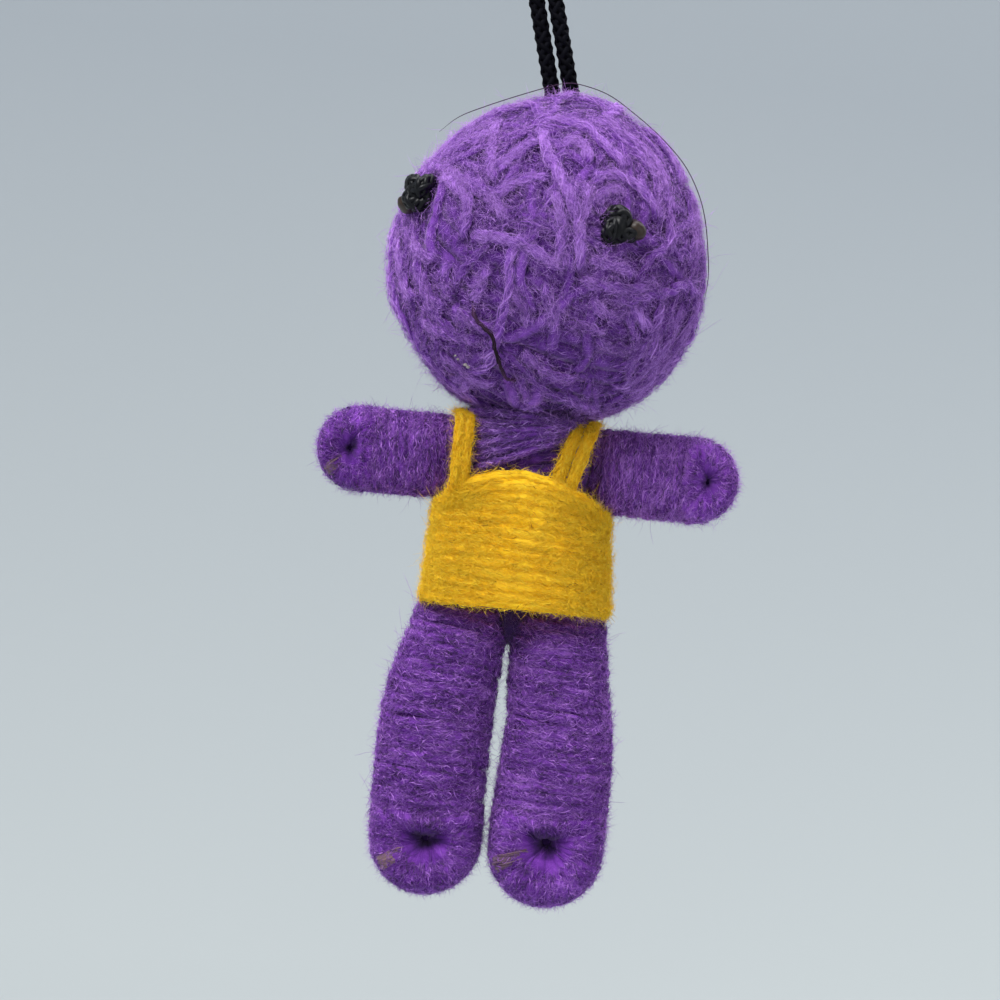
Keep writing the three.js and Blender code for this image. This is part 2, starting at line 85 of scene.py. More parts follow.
# Loose fibres along the yarn
LOOSE_POINTS = 4
LOOSE_SHARE = 0.9
LOOSE_BOW = 0.25
LOOSE_LIFT = (0.4, 0.66)
LOOSE_ARCH = 0.25
# Loose fibres are painted darker towards the yarn's edges, as shade
LOOSE_RELIEF_SHADE = 0.1
LOOSE_CRIMP = 0.11
LOOSE_CRIMP_UP = 0.4 * LOOSE_CRIMP
LOOSE_SIZES = (0.65, 1.35)

# Felt: short fibres matted over the yarn, and tufts of them with these radii
FELT_POINTS = 3
FELT_KINK = 0.09
FELT_KINK_UP = 0.4 * FELT_KINK
FELT_ROUND = 0.8
FELT_LIFT = (-0.03, 0.12)
# Felt is painted darker down the yarn's sides, as shade
FELT_RELIEF_SHADE = 0.2
TUFT = 0.052
FINE_TUFT = 0.042

# Fuzz: fine fibres that stand off the yarn
FUZZ_POINTS = 3
STRAY_POINTS = 6
FUZZ_BESIDE = 0.6
FUZZ_ROOT = 0.3
FUZZ_UNEVEN = 0.9
FUZZ_CLIMB = (0.04, 1.6)
FUZZ_ACROSS = 0.8
FUZZ_CURL = (0.2, 0.9)
FUZZ_DROOP = 0.35
FUZZ_CRIMP = 0.1
FUZZ_SIZES = (0.6, 1.3)
FUZZ_NUDGE = 0.01


def unit(v):
    return v / np.maximum(np.linalg.norm(v, axis=-1, keepdims=True), NEVER_ZERO)


def smooth(t):
    t = np.clip(t, 0, 1)
    return t * t * (3 - 2 * t)


def ease(value, start, over):
    """A soft step from 0 to 1 that begins at the start."""
    return smooth((value - start) / over)


def dive(t, share):
    """1 at both ends of a strand and 0 between them, with a share of its length to change in."""
    return 1 - smooth(np.minimum(t, 1 - t) / share)


def mix(low, high, share):
    return low + (high - low) * share


def arc(path):
    steps = np.linalg.norm(np.diff(path, axis=1), axis=2)
    return np.concatenate([np.zeros((len(path), 1)), np.cumsum(steps, axis=1)], axis=1)


def frames(path, outward):
    along = unit(np.gradient(path, axis=1))
    up = unit(outward - (outward * along).sum(-1, keepdims=True) * along)
    return along, up, np.cross(along, up)


def wander(rng, s, wave, size):
    """A smooth seeded wobble along strands whose arc length is s."""
    total = np.zeros_like(s)
    for share in WANDER_SHARES:
        phase = rng.uniform(0, TAU, (len(s), 1))
        length = wave * share * rng.uniform(*WANDER_WAVES, (len(s), 1))
        total += share * np.sin(TAU * s / length + phase)
    return size * total


def crimp(rng, shape, size):
    """Small uneven kinks from point to point."""
    kink = rng.standard_normal(shape)
    kink[:, 1:-1] = 0.25 * kink[:, :-2] + 0.5 * kink[:, 1:-1] + 0.25 * kink[:, 2:]
    return size * kink


def through_points(points, count):
    """A smooth path of evenly numbered steps through a few points."""
    p = np.array(points, float)
    p = np.vstack([2 * p[0] - p[1], p, 2 * p[-1] - p[-2]])
    place = np.linspace(0, len(p) - 3 - JUST_SHORT, count)
    i = place.astype(int)
    t = (place - i)[:, None]
    a, b, c, d = p[i], p[i + 1], p[i + 2], p[i + 3]
    return 0.5 * (2 * b + (c - a) * t + (2 * a - 5 * b + 4 * c - d) * t**2 + (3 * b - a - 3 * c + d) * t**3)


def evenly(path, count):
    """The same path with points at even distances."""
    s = arc(path[None])[0]
    even = np.linspace(0, s[-1], count)
    return np.stack([np.interp(even, s, path[:, k]) for k in range(3)], axis=1)


def at_places(values, which, place):
    """Values of the numbered strands at fractional sample numbers."""
    low = np.clip(place.astype(int), 0, values.shape[1] - 2)
    share = (place - low)[..., None]
    rows = which[:, None]
    return values[rows, low] * (1 - share) + values[rows, low + 1] * share


def seeded(name, side=0):
    return np.random.default_rng(SEED + SEEDS[name] + side)


def parting_shade(rng, s, middle, waves, limits):
    """The painted shade down the sides of yarn, darker where the rows part, which varies along it."""
    return np.clip(middle + wander(rng, s, *waves), *limits)[..., None]


def joined(*spots):
    """Points or directions whose coordinates are given apart."""
    return np.stack(np.broadcast_arrays(*spots), axis=-1)


def ring_angles(sides):
    return TAU * np.arange(sides) / sides


def turned(first, second, angle):
    """Directions at an angle from the first towards the second."""
    return first * np.cos(angle)[..., None] + second * np.sin(angle)[..., None]


def new_object(name, data):
    made = bpy.data.objects.new(name, data)
    bpy.context.scene.collection.objects.link(made)
    return made


def facing(path, direction):
    """Strands, as their paths and outward directions, that all face one way."""
    return path, np.broadcast_to(direction, path.shape)


class Fleece:
    """Closed strands gathered into one mesh, with a tint at each point from 0, dark, to 1, light.

    A shade, where there is one, is painted shade and light that adds to the tint by place.
    """

    def __init__(self, shade=None):
        self.shade = shade
        self.points = []
        self.faces = []
        self.tints = []
        self.total = 0

    def add_points(self, points, tint):
        index = self.total + np.arange(points[..., 0].size).reshape(points.shape[:-1])
        tint = np.broadcast_to(tint, points.shape[:-1])
        # Painted shade and light by place
        if self.shade is not None:
            tint = tint + self.shade(points)
        self.points.append(points.reshape(-1, 3))
        self.tints.append(tint.reshape(-1))
        self.total += index.size
        return index

    def add_skin(self, index):
        a = index[:, :-1]
        c = index[:, 1:]
        quads = np.stack([a, np.roll(a, -1, 2), np.roll(c, -1, 2), c], axis=-1)
        self.faces.append(quads.reshape(-1, 4))

    def rings(self, rings, tint):
        """Capped skins over rings: strand, step, corner, xyz. The tint is one, or by strand, step, corner."""
        index = self.add_points(rings, tint)
        self.add_skin(index)
        self.faces.append(index[:, 0, ::-1])
        self.faces.append(index[:, -1])

    def tubes(self, path, up, side, half_up, half_side, sides, tint, edge_tint=None):
        """Round or flat strands, with a painted shade tint down their sides where there is one."""
        angle = ring_angles(sides)
        shade = np.broadcast_to(np.asarray(tint, float), path.shape[:2])[..., None]
        # Painted shade down the strands' sides
        if edge_tint is not None:
            shade = mix(edge_tint, shade, np.maximum(np.cos(angle), 0))
        rise = np.broadcast_to(half_up, path.shape[:2])[..., None] * np.cos(angle)
        reach = np.broadcast_to(half_side, path.shape[:2])[..., None] * np.sin(angle)
        rings = path[:, :, None] + up[:, :, None] * rise[..., None] + side[:, :, None] * reach[..., None]
        self.rings(rings, shade)

    def spindles(self, path, up, side, radius, tint):
        """Thin fibres that come to a point at both ends."""
        shade = np.broadcast_to(np.asarray(tint, float), path.shape[:2])
        start = self.add_points(path[:, 0], shade[:, 0])
        end = self.add_points(path[:, -1], shade[:, -1])
        angle = ring_angles(FIBRE_SIDES)
        size = np.broadcast_to(radius, path.shape[:2])[:, 1:-1, None, None]
        spread = up[:, 1:-1, None] * np.cos(angle)[:, None] + side[:, 1:-1, None] * np.sin(angle)[:, None]
        index = self.add_points(path[:, 1:-1, None] + size * spread, shade[:, 1:-1, None])
        first = index[:, 0]
        last = index[:, -1]
        start = np.repeat(start[:, None], FIBRE_SIDES, 1)
        end = np.repeat(end[:, None], FIBRE_SIDES, 1)
        for corners in ([start, np.roll(first, -1, 1), first], [last, np.roll(last, -1, 1), end]):
            self.faces.append(np.stack(corners, -1).reshape(-1, 3))
        self.add_skin(index)

    def build(self, name, material, body, nodes=()):
        place = np.concatenate(self.points) + np.array([0, 0, HEAD_Z])
        loops = np.concatenate([f.reshape(-1) for f in self.faces]).astype(np.int32)
        sizes = np.concatenate([np.full(len(f), f.shape[1]) for f in self.faces])
        starts = np.concatenate([[0], np.cumsum(sizes)[:-1]]).astype(np.int32)
        mesh = bpy.data.meshes.new(name)
        mesh.vertices.add(len(place))
        mesh.vertices.foreach_set("co", (place * MM).astype(np.float32).reshape(-1))
        mesh.loops.add(len(loops))
        mesh.loops.foreach_set("vertex_index", loops)
        mesh.polygons.add(len(sizes))
        mesh.polygons.foreach_set("loop_start", starts)
        mesh.update(calc_edges=True)
        mesh.shade_smooth()
        tint = mesh.attributes.new("tint", "FLOAT", "POINT")
        tint.data.foreach_set("value", np.concatenate(self.tints).astype(np.float32))
        mesh.materials.append(material)
        piece = new_object(name, mesh)
        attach(piece, body)
        if nodes:
            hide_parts(*nodes)
        return piece


def lay_yarn(
        fleece, rng, strands, width, thick, fibres, twist, tint, spread, edge_tint,
        relief_shade=YARN_RELIEF_SHADE, fine=FINE_FIBRE):
    """Yarn as a soft body under a few twisting, wandering fibres, painted lighter on top and darker down its
    sides.
    """
    path = strands[0]
    _, up, side = frames(*strands)
    s = arc(path)
    # Painted shade: the body is a little darker than its fibres
    body = tint - CORE_SHADE + wander(rng, s, *CORE_MOTTLE)
    fleece.tubes(path, up, side, CORE_SHARE * thick / 2, CORE_SHARE * width / 2, CORE_SIDES, body, edge_tint)
    count = (len(path), 1)
    for j in range(fibres):
        stray = rng.uniform(-FIBRE_STRAY, FIBRE_STRAY, count)
        turn = TAU * (j + stray) / fibres + TAU * s / twist + wander(rng, s, *FIBRE_WANDER)
        depth = rng.uniform(*FIBRE_DEPTH, count) + wander(rng, s, *DEPTH_WANDER)
        rise = depth * thick / 2 * np.cos(turn) + crimp(rng, s.shape, YARN_CRIMP)
        reach = depth * width / 2 * np.sin(turn) + crimp(rng, s.shape, YARN_CRIMP)
        centre = path + up * rise[..., None] + side * reach[..., None]
        size = fine * rng.uniform(*FIBRE_SIZES, count) * (1 + wander(rng, s, *SIZE_WANDER))
        shade = tint + spread * rng.standard_normal(count) + wander(rng, s, *FIBRE_MOTTLE)
        # Painted light and shade: fibres are lighter on top of the yarn and darker down its sides
        shade = shade + relief_shade * (depth * np.cos(turn) - RELIEF_SHADE_LEVEL)
        fleece.tubes(centre, up, side, size, size, FIBRE_SIDES, shade)


def lay_plied(fleece, rng, strands, width, thick, **yarn):
    """Two strands of yarn laid round each other."""
    path, outward = strands
    _, up, side = frames(*strands)
    turn = TAU * arc(path) / PLY_LAY + rng.uniform(0, TAU, (len(path), 1))
    for half in (0, math.pi):
        rise = PLY_RISE * thick * np.cos(turn + half)
        reach = PLY_REACH * width * np.sin(turn + half)
        ply = path + up * rise[..., None] + side * reach[..., None]
        lay_yarn(fleece, rng, (ply, outward), PLY_SHARE * width, PLY_SHARE * thick, fine=PLY_FIBRE, **yarn)


def pick_strands(rng, path, count):
    """Numbers of strands drawn by length, the steps in a strand and the length of each one's step."""
    steps = path.shape[1] - 1
    step = arc(path)[:, -1] / steps
    which = rng.choice(len(path), count, p=step / step.sum())
    return which, steps, step[which]


def values_at(strands, which, place):
    """Places on strands, and the directions along, up from and across the strand there."""
    return [at_places(values, which, place) for values in (strands[0], *frames(*strands))]


def scatter(rng, strands, count):
    """Such places and directions at random."""
    which, steps, _ = pick_strands(rng, strands[0], count)
    place = rng.uniform(0, steps, (count, 1))
    return [values[:, 0] for values in values_at(strands, which, place)]


def lay_fibres(fleece, rng, strands, width, thick, count, length, size, tint, spread, slant):
    """Loose fibres that lie over the yarn, more or less along it."""
    which, steps, step = pick_strands(rng, strands[0], count)
    reach = np.minimum(rng.uniform(*length, count) / step, LOOSE_SHARE * steps)
    first = rng.uniform(0, 1, count) * (steps - reach)
    t = np.linspace(0, 1, LOOSE_POINTS)
    place = first[:, None] + reach[:, None] * t
    column = (count, 1)
    drift = rng.uniform(-1, 1, column) + rng.normal(0, slant, column) * (t - 0.5)
    drift = drift + rng.normal(0, LOOSE_BOW, column) * np.sin(TAU * t + rng.uniform(0, TAU, column))
    lift = rng.uniform(*LOOSE_LIFT, column) + rng.uniform(0, LOOSE_ARCH, column) * np.sin(math.pi * t)
    centre, _, up, side = values_at(strands, which, place)
    # Painted shade: darker towards the yarn's edges
    shade = tint + spread * rng.standard_normal(column) - LOOSE_RELIEF_SHADE * drift**2
    drift = drift * width / 2 + crimp(rng, place.shape, LOOSE_CRIMP)
    lift = lift * thick + crimp(rng, place.shape, LOOSE_CRIMP_UP)
    centre = centre + side * drift[..., None] + up * lift[..., None]
    fleece.spindles(centre, up, side, size * rng.uniform(*LOOSE_SIZES, column), shade)


def lay_felt(
        fleece, rng, strands, width, thick, count, length, size, tint, spread, askew, relief_shade=FELT_RELIEF_SHADE):
    """Short kinked fibres matted over the yarn, at all angles about it, and painted darker down its sides as
    shade.
    """
    base, along, up, side = scatter(rng, strands, count)
    column = (count, 1)
    kinks = (count, FELT_POINTS, 1)
    beside = rng.uniform(-1, 1, column)
    height = thick / 2 * np.sqrt(1 - FELT_ROUND * beside**2) + rng.uniform(*FELT_LIFT, column)
    base = base + side * beside * width / 2 + up * height
    heading = rng.normal(0, askew, column)
    ahead = along * np.cos(heading) + side * np.sin(heading)
    across = np.repeat(np.cross(ahead, up)[:, None], FELT_POINTS, 1)
    over = np.repeat(up[:, None], FELT_POINTS, 1)
    t = np.linspace(-0.5, 0.5, FELT_POINTS)[None, :, None]
    centre = base[:, None] + rng.uniform(*length, column)[:, None] * ahead[:, None] * t
    centre = centre + across * rng.normal(0, FELT_KINK, kinks)
    centre = centre + over * rng.normal(0, FELT_KINK_UP, kinks)
    # Painted shade down the yarn's sides
    shade = tint + spread * rng.standard_normal(column) - relief_shade * beside**2
    fleece.spindles(centre, over, across, size * rng.uniform(*LOOSE_SIZES, column), shade)


def raise_fuzz(
        fleece, rng, strands, width, thick, count, length, size, tint, spread, steep, points=FUZZ_POINTS):
    """Fine fibres that stand off the yarn, as steeply as asked."""
    base, along, up, side = scatter(rng, strands, count)
    column = (count, 1)
    base = base + side * rng.uniform(-FUZZ_BESIDE, FUZZ_BESIDE, column) * width + up * FUZZ_ROOT * thick
    heading = rng.uniform(0, TAU, column)
    climb = np.clip(np.abs(rng.normal(steep, FUZZ_UNEVEN * steep, column)), *FUZZ_CLIMB)
    ahead = unit(along * np.cos(heading) + side * np.sin(heading) * FUZZ_ACROSS + up * climb)
    curl = unit(rng.standard_normal((count, 3))) * rng.uniform(*FUZZ_CURL, column) - up * FUZZ_DROOP * climb
    reach = rng.uniform(*length, column)
    t = np.linspace(0, 1, points)[None, :, None]
    centre = base[:, None] + reach[:, None] * (ahead[:, None] * t + curl[:, None] * t**2)
    for way in (along, up, side):
        centre = centre + way[:, None] * crimp(rng, (count, points), FUZZ_CRIMP)[..., None]
    across = np.repeat(unit(np.cross(ahead, up + FUZZ_NUDGE))[:, None], points, 1)
    over = np.repeat(unit(np.cross(across[:, 0], ahead))[:, None], points, 1)
    radius = size * rng.uniform(*FUZZ_SIZES, column)
    fleece.spindles(centre, over, across, radius, tint + spread * rng.standard_normal(column))


def lay_coats(fleece, rng, strands, coats):
    """Coats of fibres over strands that have names.

    A row gives how the fibres are laid, the strands, the width and the thickness that they cover, their
    number, the range of their length, their radius, their tint, its spread and how far askew or how steep
    they are. Felt may then have its painted shade down the yarn's sides, and fuzz the number of its points.
    """
    for lay, over, *numbers in coats:
        lay(fleece, rng, strands[over], *numbers)


def build_coats(rng, strands, pieces, material, body, shade=None):
    """Pieces by name that are coats of fibres alone."""
    for name, coats in pieces.items():
        fleece = Fleece(shade)
        lay_coats(fleece, rng, strands, coats)
        fleece.build(name, material, body)


# Camera: the photograph's viewing angle, with the doll rolled a little in the frame
VIEW_ROLL = math.radians(5.5)
VIEW_DISTANCE = 400
VIEW_CENTRE = (-2.03, -22.6)
PIXELS_PER_MM = 11
IMAGE_PIXELS = 1000
SENSOR_MM = 36


def make_camera():
    data = bpy.data.cameras.new("camera")
    data.sensor_width = SENSOR_MM
    data.lens = PIXELS_PER_MM * SENSOR_MM * VIEW_DISTANCE / IMAGE_PIXELS
    camera = new_object("camera", data)
    right = Vector((math.cos(VIEW_ROLL), 0, math.sin(VIEW_ROLL)))
    back = Vector((0, -1, 0))
    up = back.cross(right)
    turn = Matrix((right, up, back)).transposed().to_4x4()
    place = Vector((VIEW_CENTRE[0], -VIEW_DISTANCE, HEAD_Z + VIEW_CENTRE[1])) * MM
    camera.matrix_world = Matrix.Translation(place) @ turn
    bpy.context.scene.camera = camera


# Materials
EVEN_PULL = (1, 1, 1)
LEVEL_PULL = (0.4, 0.4, 1)
UPRIGHT_PULL = (1, 0.4, 0.4)
GRAIN_DETAIL = 3
BUMP_STRENGTH = 0.5
PATCH_SCALE = 330
CLUMP_SCALE = 1000
CLUMP_DETAIL = 4
SHEEN_ROUGH = 0.5
YARN_GRAIN = 9000
YARN_ROUGH = (0.7, 0.95)
YARN_BUMP = 0.03
CORD_ROUGH = (0.5, 0.75)
GLOSSY = (0.25, 0.5)


def new_material(name):
    material = bpy.data.materials.new(name)
    material.use_nodes = True
    return material, material.node_tree, material.node_tree.nodes["Principled BSDF"]


def set_inputs(tree, node, inputs):
    """Gives a node its inputs, each of them a value or another node's output."""
    for socket, value in inputs.items():
        if isinstance(value, bpy.types.NodeSocket):
            tree.links.new(value, node.inputs[socket])
        else:
            node.inputs[socket].default_value = value


def add_node(tree, kind, output, inputs, **settings):
    """The output of a new node."""
    node = tree.nodes.new("ShaderNode" + kind)
    for setting, value in settings.items():
        setattr(node, setting, value)
    set_inputs(tree, node, inputs)
    return node.outputs[output]


def noise(tree, coords, scale, detail, pull=EVEN_PULL):
    """Cloudy values, drawn out along the directions in which the pull is less than one."""
    pulled = add_node(tree, "VectorMath", "Vector", {0: coords, 1: pull}, operation="MULTIPLY")
    return add_node(tree, "TexNoise", "Fac", {"Vector": pulled, "Scale": scale, "Detail": detail})


def math_node(tree, operation, *values):
    return add_node(tree, "Math", "Value", dict(enumerate(values)), operation=operation)


def ramp_node(tree, value, stops):
    node = tree.nodes.new("ShaderNodeValToRGB")
    while len(node.color_ramp.elements) < len(stops):
        node.color_ramp.elements.new(0.5)
    for element, (place, colour) in zip(node.color_ramp.elements, stops):
        element.position = place
        element.color = (*colour, 1)
    tree.links.new(value, node.inputs["Fac"])
    return node.outputs["Color"]


def mix_shaders(tree, share, first, second, output):
    both = add_node(tree, "MixShader", "Shader", {"Fac": share, 1: first, 2: second})
    set_inputs(tree, tree.nodes[output], {"Surface": both})


def surface_detail(tree, shader, coords, scale, rough, bump_mm):
    grain = noise(tree, coords, scale, GRAIN_DETAIL)
    spread = add_node(tree, "MapRange", "Result", {"Value": grain, "To Min": rough[0], "To Max": rough[1]})
    bump = {"Strength": BUMP_STRENGTH, "Distance": bump_mm * MM, "Height": grain}
    set_inputs(tree, shader, {"Roughness": spread, "Normal": add_node(tree, "Bump", "Normal", bump)})
    return grain


def tinted_material(
        name, stops, blotch, specular, rough=YARN_ROUGH, grain=YARN_GRAIN, bump_mm=YARN_BUMP,
        clump=0.0, pull=EVEN_PULL, sheen=0.0, sheen_tint=(1, 1, 1), metallic=0.0):
    """Colour from the strands' tint, mottled in broad patches, in clumps of fibres and in fine flecks."""
    material, tree, shader = new_material(name)
    coords = add_node(tree, "TexCoord", "Object", {})
    tint = add_node(tree, "Attribute", "Fac", {}, attribute_name="tint")
    flecks = surface_detail(tree, shader, coords, grain, rough, bump_mm)
    patches = noise(tree, coords, PATCH_SCALE, GRAIN_DETAIL)
    value = math_node(tree, "MULTIPLY_ADD", patches, blotch, tint)
    clumps = noise(tree, coords, CLUMP_SCALE, CLUMP_DETAIL, pull)
    value = math_node(tree, "MULTIPLY_ADD", clumps, clump, value)
    value = math_node(tree, "MULTIPLY_ADD", flecks, blotch, value)
    value = math_node(tree, "SUBTRACT", value, blotch + clump / 2)
    set_inputs(tree, shader, {
        "Base Color": ramp_node(tree, value, stops), "Metallic": metallic, "Specular IOR Level": specular,
        "Sheen Weight": sheen, "Sheen Roughness": SHEEN_ROUGH, "Sheen Tint": (*sheen_tint, 1)})
    return material


PURPLE_STOPS = [
    (0.0, (0.026, 0.007, 0.062)),
    (0.12, (0.060, 0.014, 0.145)),
    (0.3, (0.120, 0.028, 0.270)),
    (0.6, (0.240, 0.074, 0.475)),
    (1.0, (0.565, 0.285, 0.830)),
]
LIMB_STOPS = [
    (0.0, (0.024, 0.005, 0.062)),
    (0.12, (0.056, 0.010, 0.140)),
    (0.3, (0.110, 0.020, 0.250)),
    (0.6, (0.238, 0.060, 0.470)),
    (1.0, (0.560, 0.240, 0.830)),
]
YELLOW_STOPS = [
    (0.0, (0.460, 0.215, 0.003)),
    (0.35, (0.860, 0.440, 0.005)),
    (0.65, (0.990, 0.590, 0.010)),
    (1.0, (1.0, 0.700, 0.040)),
]
BLACK_STOPS = [(0.0, (0.001, 0.001, 0.002)), (1.0, (0.005, 0.005, 0.008))]
THREAD_STOPS = [(0.0, (0.014, 0.006, 0.010)), (1.0, (0.150, 0.055, 0.190))]
MELTED_STOPS = [(0.0, (0.004, 0.0025, 0.002)), (1.0, (0.040, 0.022, 0.015))]
STEEL_STOPS = [(0.0, (0.230, 0.230, 0.235)), (1.0, (0.520, 0.520, 0.530))]
GLUED_STOPS = [(0.0, (0.075, 0.030, 0.090)), (1.0, (0.370, 0.230, 0.210))]
SPECK_STOPS = [(0.0, (0.080, 0.055, 0.075)), (1.0, (0.400, 0.350, 0.360))]
LILAC = (0.85, 0.62, 1.0)
STRAW = (1.0, 0.85, 0.3)
BUFF = (1.0, 0.8, 0.7)
LIMB_LOOK = {"blotch": 0.34, "specular": 0.12, "clump": 0.9, "sheen": 0.25, "sheen_tint": LILAC}

purple_yarn = tinted_material(
    "purple_yarn", PURPLE_STOPS, blotch=0.34, specular=0.15, clump=0.7, sheen=0.35, sheen_tint=LILAC)
leg_yarn = tinted_material("leg_yarn", LIMB_STOPS, pull=LEVEL_PULL, **LIMB_LOOK)
arm_yarn = tinted_material("arm_yarn", LIMB_STOPS, pull=UPRIGHT_PULL, **LIMB_LOOK)
yellow_yarn = tinted_material(
    "yellow_yarn", YELLOW_STOPS, blotch=0.3, specular=0.15, clump=0.6, pull=LEVEL_PULL,
    sheen=0.2, sheen_tint=STRAW)
black_cord = tinted_material(
    "black_cord", BLACK_STOPS, blotch=0.5, specular=0.025, rough=CORD_ROUGH, grain=6000)
dark_thread = tinted_material(
    "dark_thread", THREAD_STOPS, blotch=0.4, specular=0.15, rough=CORD_ROUGH, grain=7000, bump_mm=0.02)
knot_cord = tinted_material(
    "knot_cord", BLACK_STOPS, blotch=0.5, specular=0.2, rough=(0.24, 0.42), grain=6000)
melted_cord = tinted_material(
    "melted_cord", MELTED_STOPS, blotch=0.9, specular=0.3, rough=GLOSSY, grain=1500, bump_mm=0.06)
glued_yarn = tinted_material(
    "glued_yarn", GLUED_STOPS, blotch=0.4, specular=0.35, rough=(0.45, 0.8), sheen=0.15, sheen_tint=BUFF)
glue_speck = tinted_material(
    "glue_speck", SPECK_STOPS, blotch=0.7, specular=0.5, rough=(0.12, 0.4), grain=5000, bump_mm=0.02)
steel_wire = tinted_material(
    "steel_wire", STEEL_STOPS, blotch=0.8, specular=0.5, rough=GLOSSY, grain=4000, bump_mm=0.01, metallic=1)


# Braided cord
BRAID_CORE_IN = 1.2
BRAID_CORE_SIDES = 8
BRAID_CORE_TINT = 0.1
BRAID_OFFSET = 0.25
BRAID_CROSSING = 0.22
BRAID_FLAT = 1.5
BRAID_TINTS = {-1: 0.3, 1: 0.7}
CORD_D = 1.5
CORD_LAY = 4.2
CORD_STRAND = 0.17
CORD_STEPS = 330
CORD_FINE_STEPS = 1320
CORD_ROUTE = [
    (-0.88, 0), (-1.68, 3), (-2.49, 6), (-3.29, 9), (-4.08, 12), (-4.8, 15), (-5.35, 18), (-5.75, 21),
    (-5.75, 24), (-5.2, 27), (-4.05, 29.7), (-2.35, 31.8), (0, 32.75), (2.2, 31.8), (2.9, 29.7),
    (2.1, 27), (0.6, 24), (-0.85, 21), (-1.85, 18), (-2.3, 15), (-2.12, 12), (-1.53, 9), (-0.73, 6),
    (0.08, 3), (0.88, 0),
]
STRAND_SPACING = 1.76
KNOT_Z = 8.05
STRAND_ABOVE = 0.3
STRAND_STEPS = 24
KNOT_SIZE = (1.45, 1.45, 1.0)
KNOT_STEPS = 70

# A braid is its radius, the number of its strands, the length of a turn and half a strand's thickness
CORD_BRAID = (CORD_D / 2, 8, CORD_LAY, CORD_STRAND)
KNOT_BRAID = (0.6, 6, CORD_LAY, CORD_STRAND)
FRONT = np.array([0.0, -1.0, 0.0])


def lay_braid(fleece, strands, radius, carriers, lay, strand):
    """Crossing strands round a core, half of them turning each way."""
    path = strands[0]
    _, up, side = frames(*strands)
    s = arc(path)
    half = carriers // 2
    core = radius - BRAID_CORE_IN * strand
    fleece.tubes(path, up, side, core, core, BRAID_CORE_SIDES, BRAID_CORE_TINT)
    for hand, tint in BRAID_TINTS.items():
        for j in range(half):
            turn = hand * TAU * s / lay + TAU * (j + BRAID_OFFSET * hand) / half
            over = BRAID_CROSSING * strand * hand * np.sin(TAU * s / lay * half + math.pi * j)
            spoke = turned(up, side, turn)
            centre = path + spoke * (radius - strand + over)[..., None]
            _, over_up, over_side = frames(centre, spoke)
            fleece.tubes(centre, over_up, over_side, strand, BRAID_FLAT * strand, CORE_SIDES, tint)


def trefoil(count):
    t = np.linspace(0, TAU, count)
    x = np.sin(t) + 2 * np.sin(2 * t)
    y = np.cos(t) - 2 * np.cos(2 * t)
    return joined(x, y, -np.sin(3 * t)) / 3


def make_cord():
    points = [(x, 0, height + SWING_Z) for x, height in CORD_ROUTE]
    path = evenly(through_points(points, CORD_FINE_STEPS), CORD_STEPS)
    fleece = Fleece()
    lay_braid(fleece, facing(path[None], FRONT), *CORD_BRAID)
    cord = fleece.build("hanging_loop", black_cord, "cord", ["hanging_cord"])
    route = (path + np.array([0, 0, HEAD_Z])) * MM
    length = float(arc(route[None])[0, -1])


def make_cord_knot():
    """The two strands inside the head, and the knot that holds them."""
    fleece = Fleece()
    z = np.linspace(KNOT_Z, SWING_Z + STRAND_ABOVE, STRAND_STEPS)
    for side in (-1, 1):
        path = joined(side * STRAND_SPACING / 2, 0, z)[None]
        lay_braid(fleece, facing(path, FRONT), *CORD_BRAID)
    ring = trefoil(KNOT_STEPS) * np.array(KNOT_SIZE)
    knot = ring[:, [0, 2, 1]] + np.array([0, 0, KNOT_Z])
    lay_braid(fleece, facing(knot[None], -FRONT), *KNOT_BRAID)
    fleece.build("cord_end_knot", black_cord, "head", ["cord_knot"])


# Head
HEAD_R = 14.8
BALL_R = 13.2
# The ball under the strands is painted dark, as shade where it shows between them
BALL_SHADE_TINT = 0.35
HEAD_STEPS = 40
BALL_LOOPS = 25
BALL_LOOP_R = 13.55
LOOP_STEPS = 49
LOOP_LIMIT = 84
LOOP_POLE = (0.35, -0.5, 0.8)
LOOP_BESIDE = (1.0, 0.2, 0.0)
LOOP_SWAY = 0.05
LOOP_SWAY_STEP = 0.4
UNDER_STRANDS = 40
UNDER_LAYERS = (13.75, 14.0)
UNDER_WIDTHS = (0.9, 1.5)
UNDER_FLAT = 0.55
OVER_STRANDS = 52
OVER_LAYERS = (13.95, 14.3)
OVER_WIDTHS = (0.85, 1.4)
OVER_TINTS = (0.47, 0.09)
FACE_LAYERS = (14.25, 14.45)
FACE_WIDTHS = (0.9, 1.2)
FACE_TINTS = (0.52, 0.07)
PLIED_FLAT = 0.5
STRAND_LEAST = 0.1
ARC_CONES = (52, 90)
ARC_SPANS = (70, 165)
ARC_WANDER = (14, 0.05)
LAYER_WANDER = (7, 0.12)
DIVE_SHARE = 0.17
DIVE_DEEP = 1.2
FRONT_SUNK = 0.06
FRONT_EASE = (0.2, 0.4)
CHIN_SUNK = 0.16
CHIN_EASE = (0.05, 0.35)

# Rings over a ball: the last one's latitude, their number and the corners of each
BALL_RINGS = (88, 30, 48)
LUMP_RINGS = (86, 22, 28)

# The ball's outline as it was wound, not quite round: shares of its radius by waves per turn, across and up
FULLNESS = 0.014
OUTLINE_WAVES = {1: (0.0264, -0.0454), 2: (-0.0218, 0.0067), 3: (-0.0141, -0.0158), 4: (0.0026, -0.0085)}

# Painted shade and light: fibres are tinted deep violet in the hollows between strands and lilac on top, by
# height, more so higher up the head
HOLLOW_R = 14.2
HOLLOW_RISE = 0.5
HOLLOW_SHADE = (0.32, 0.38)

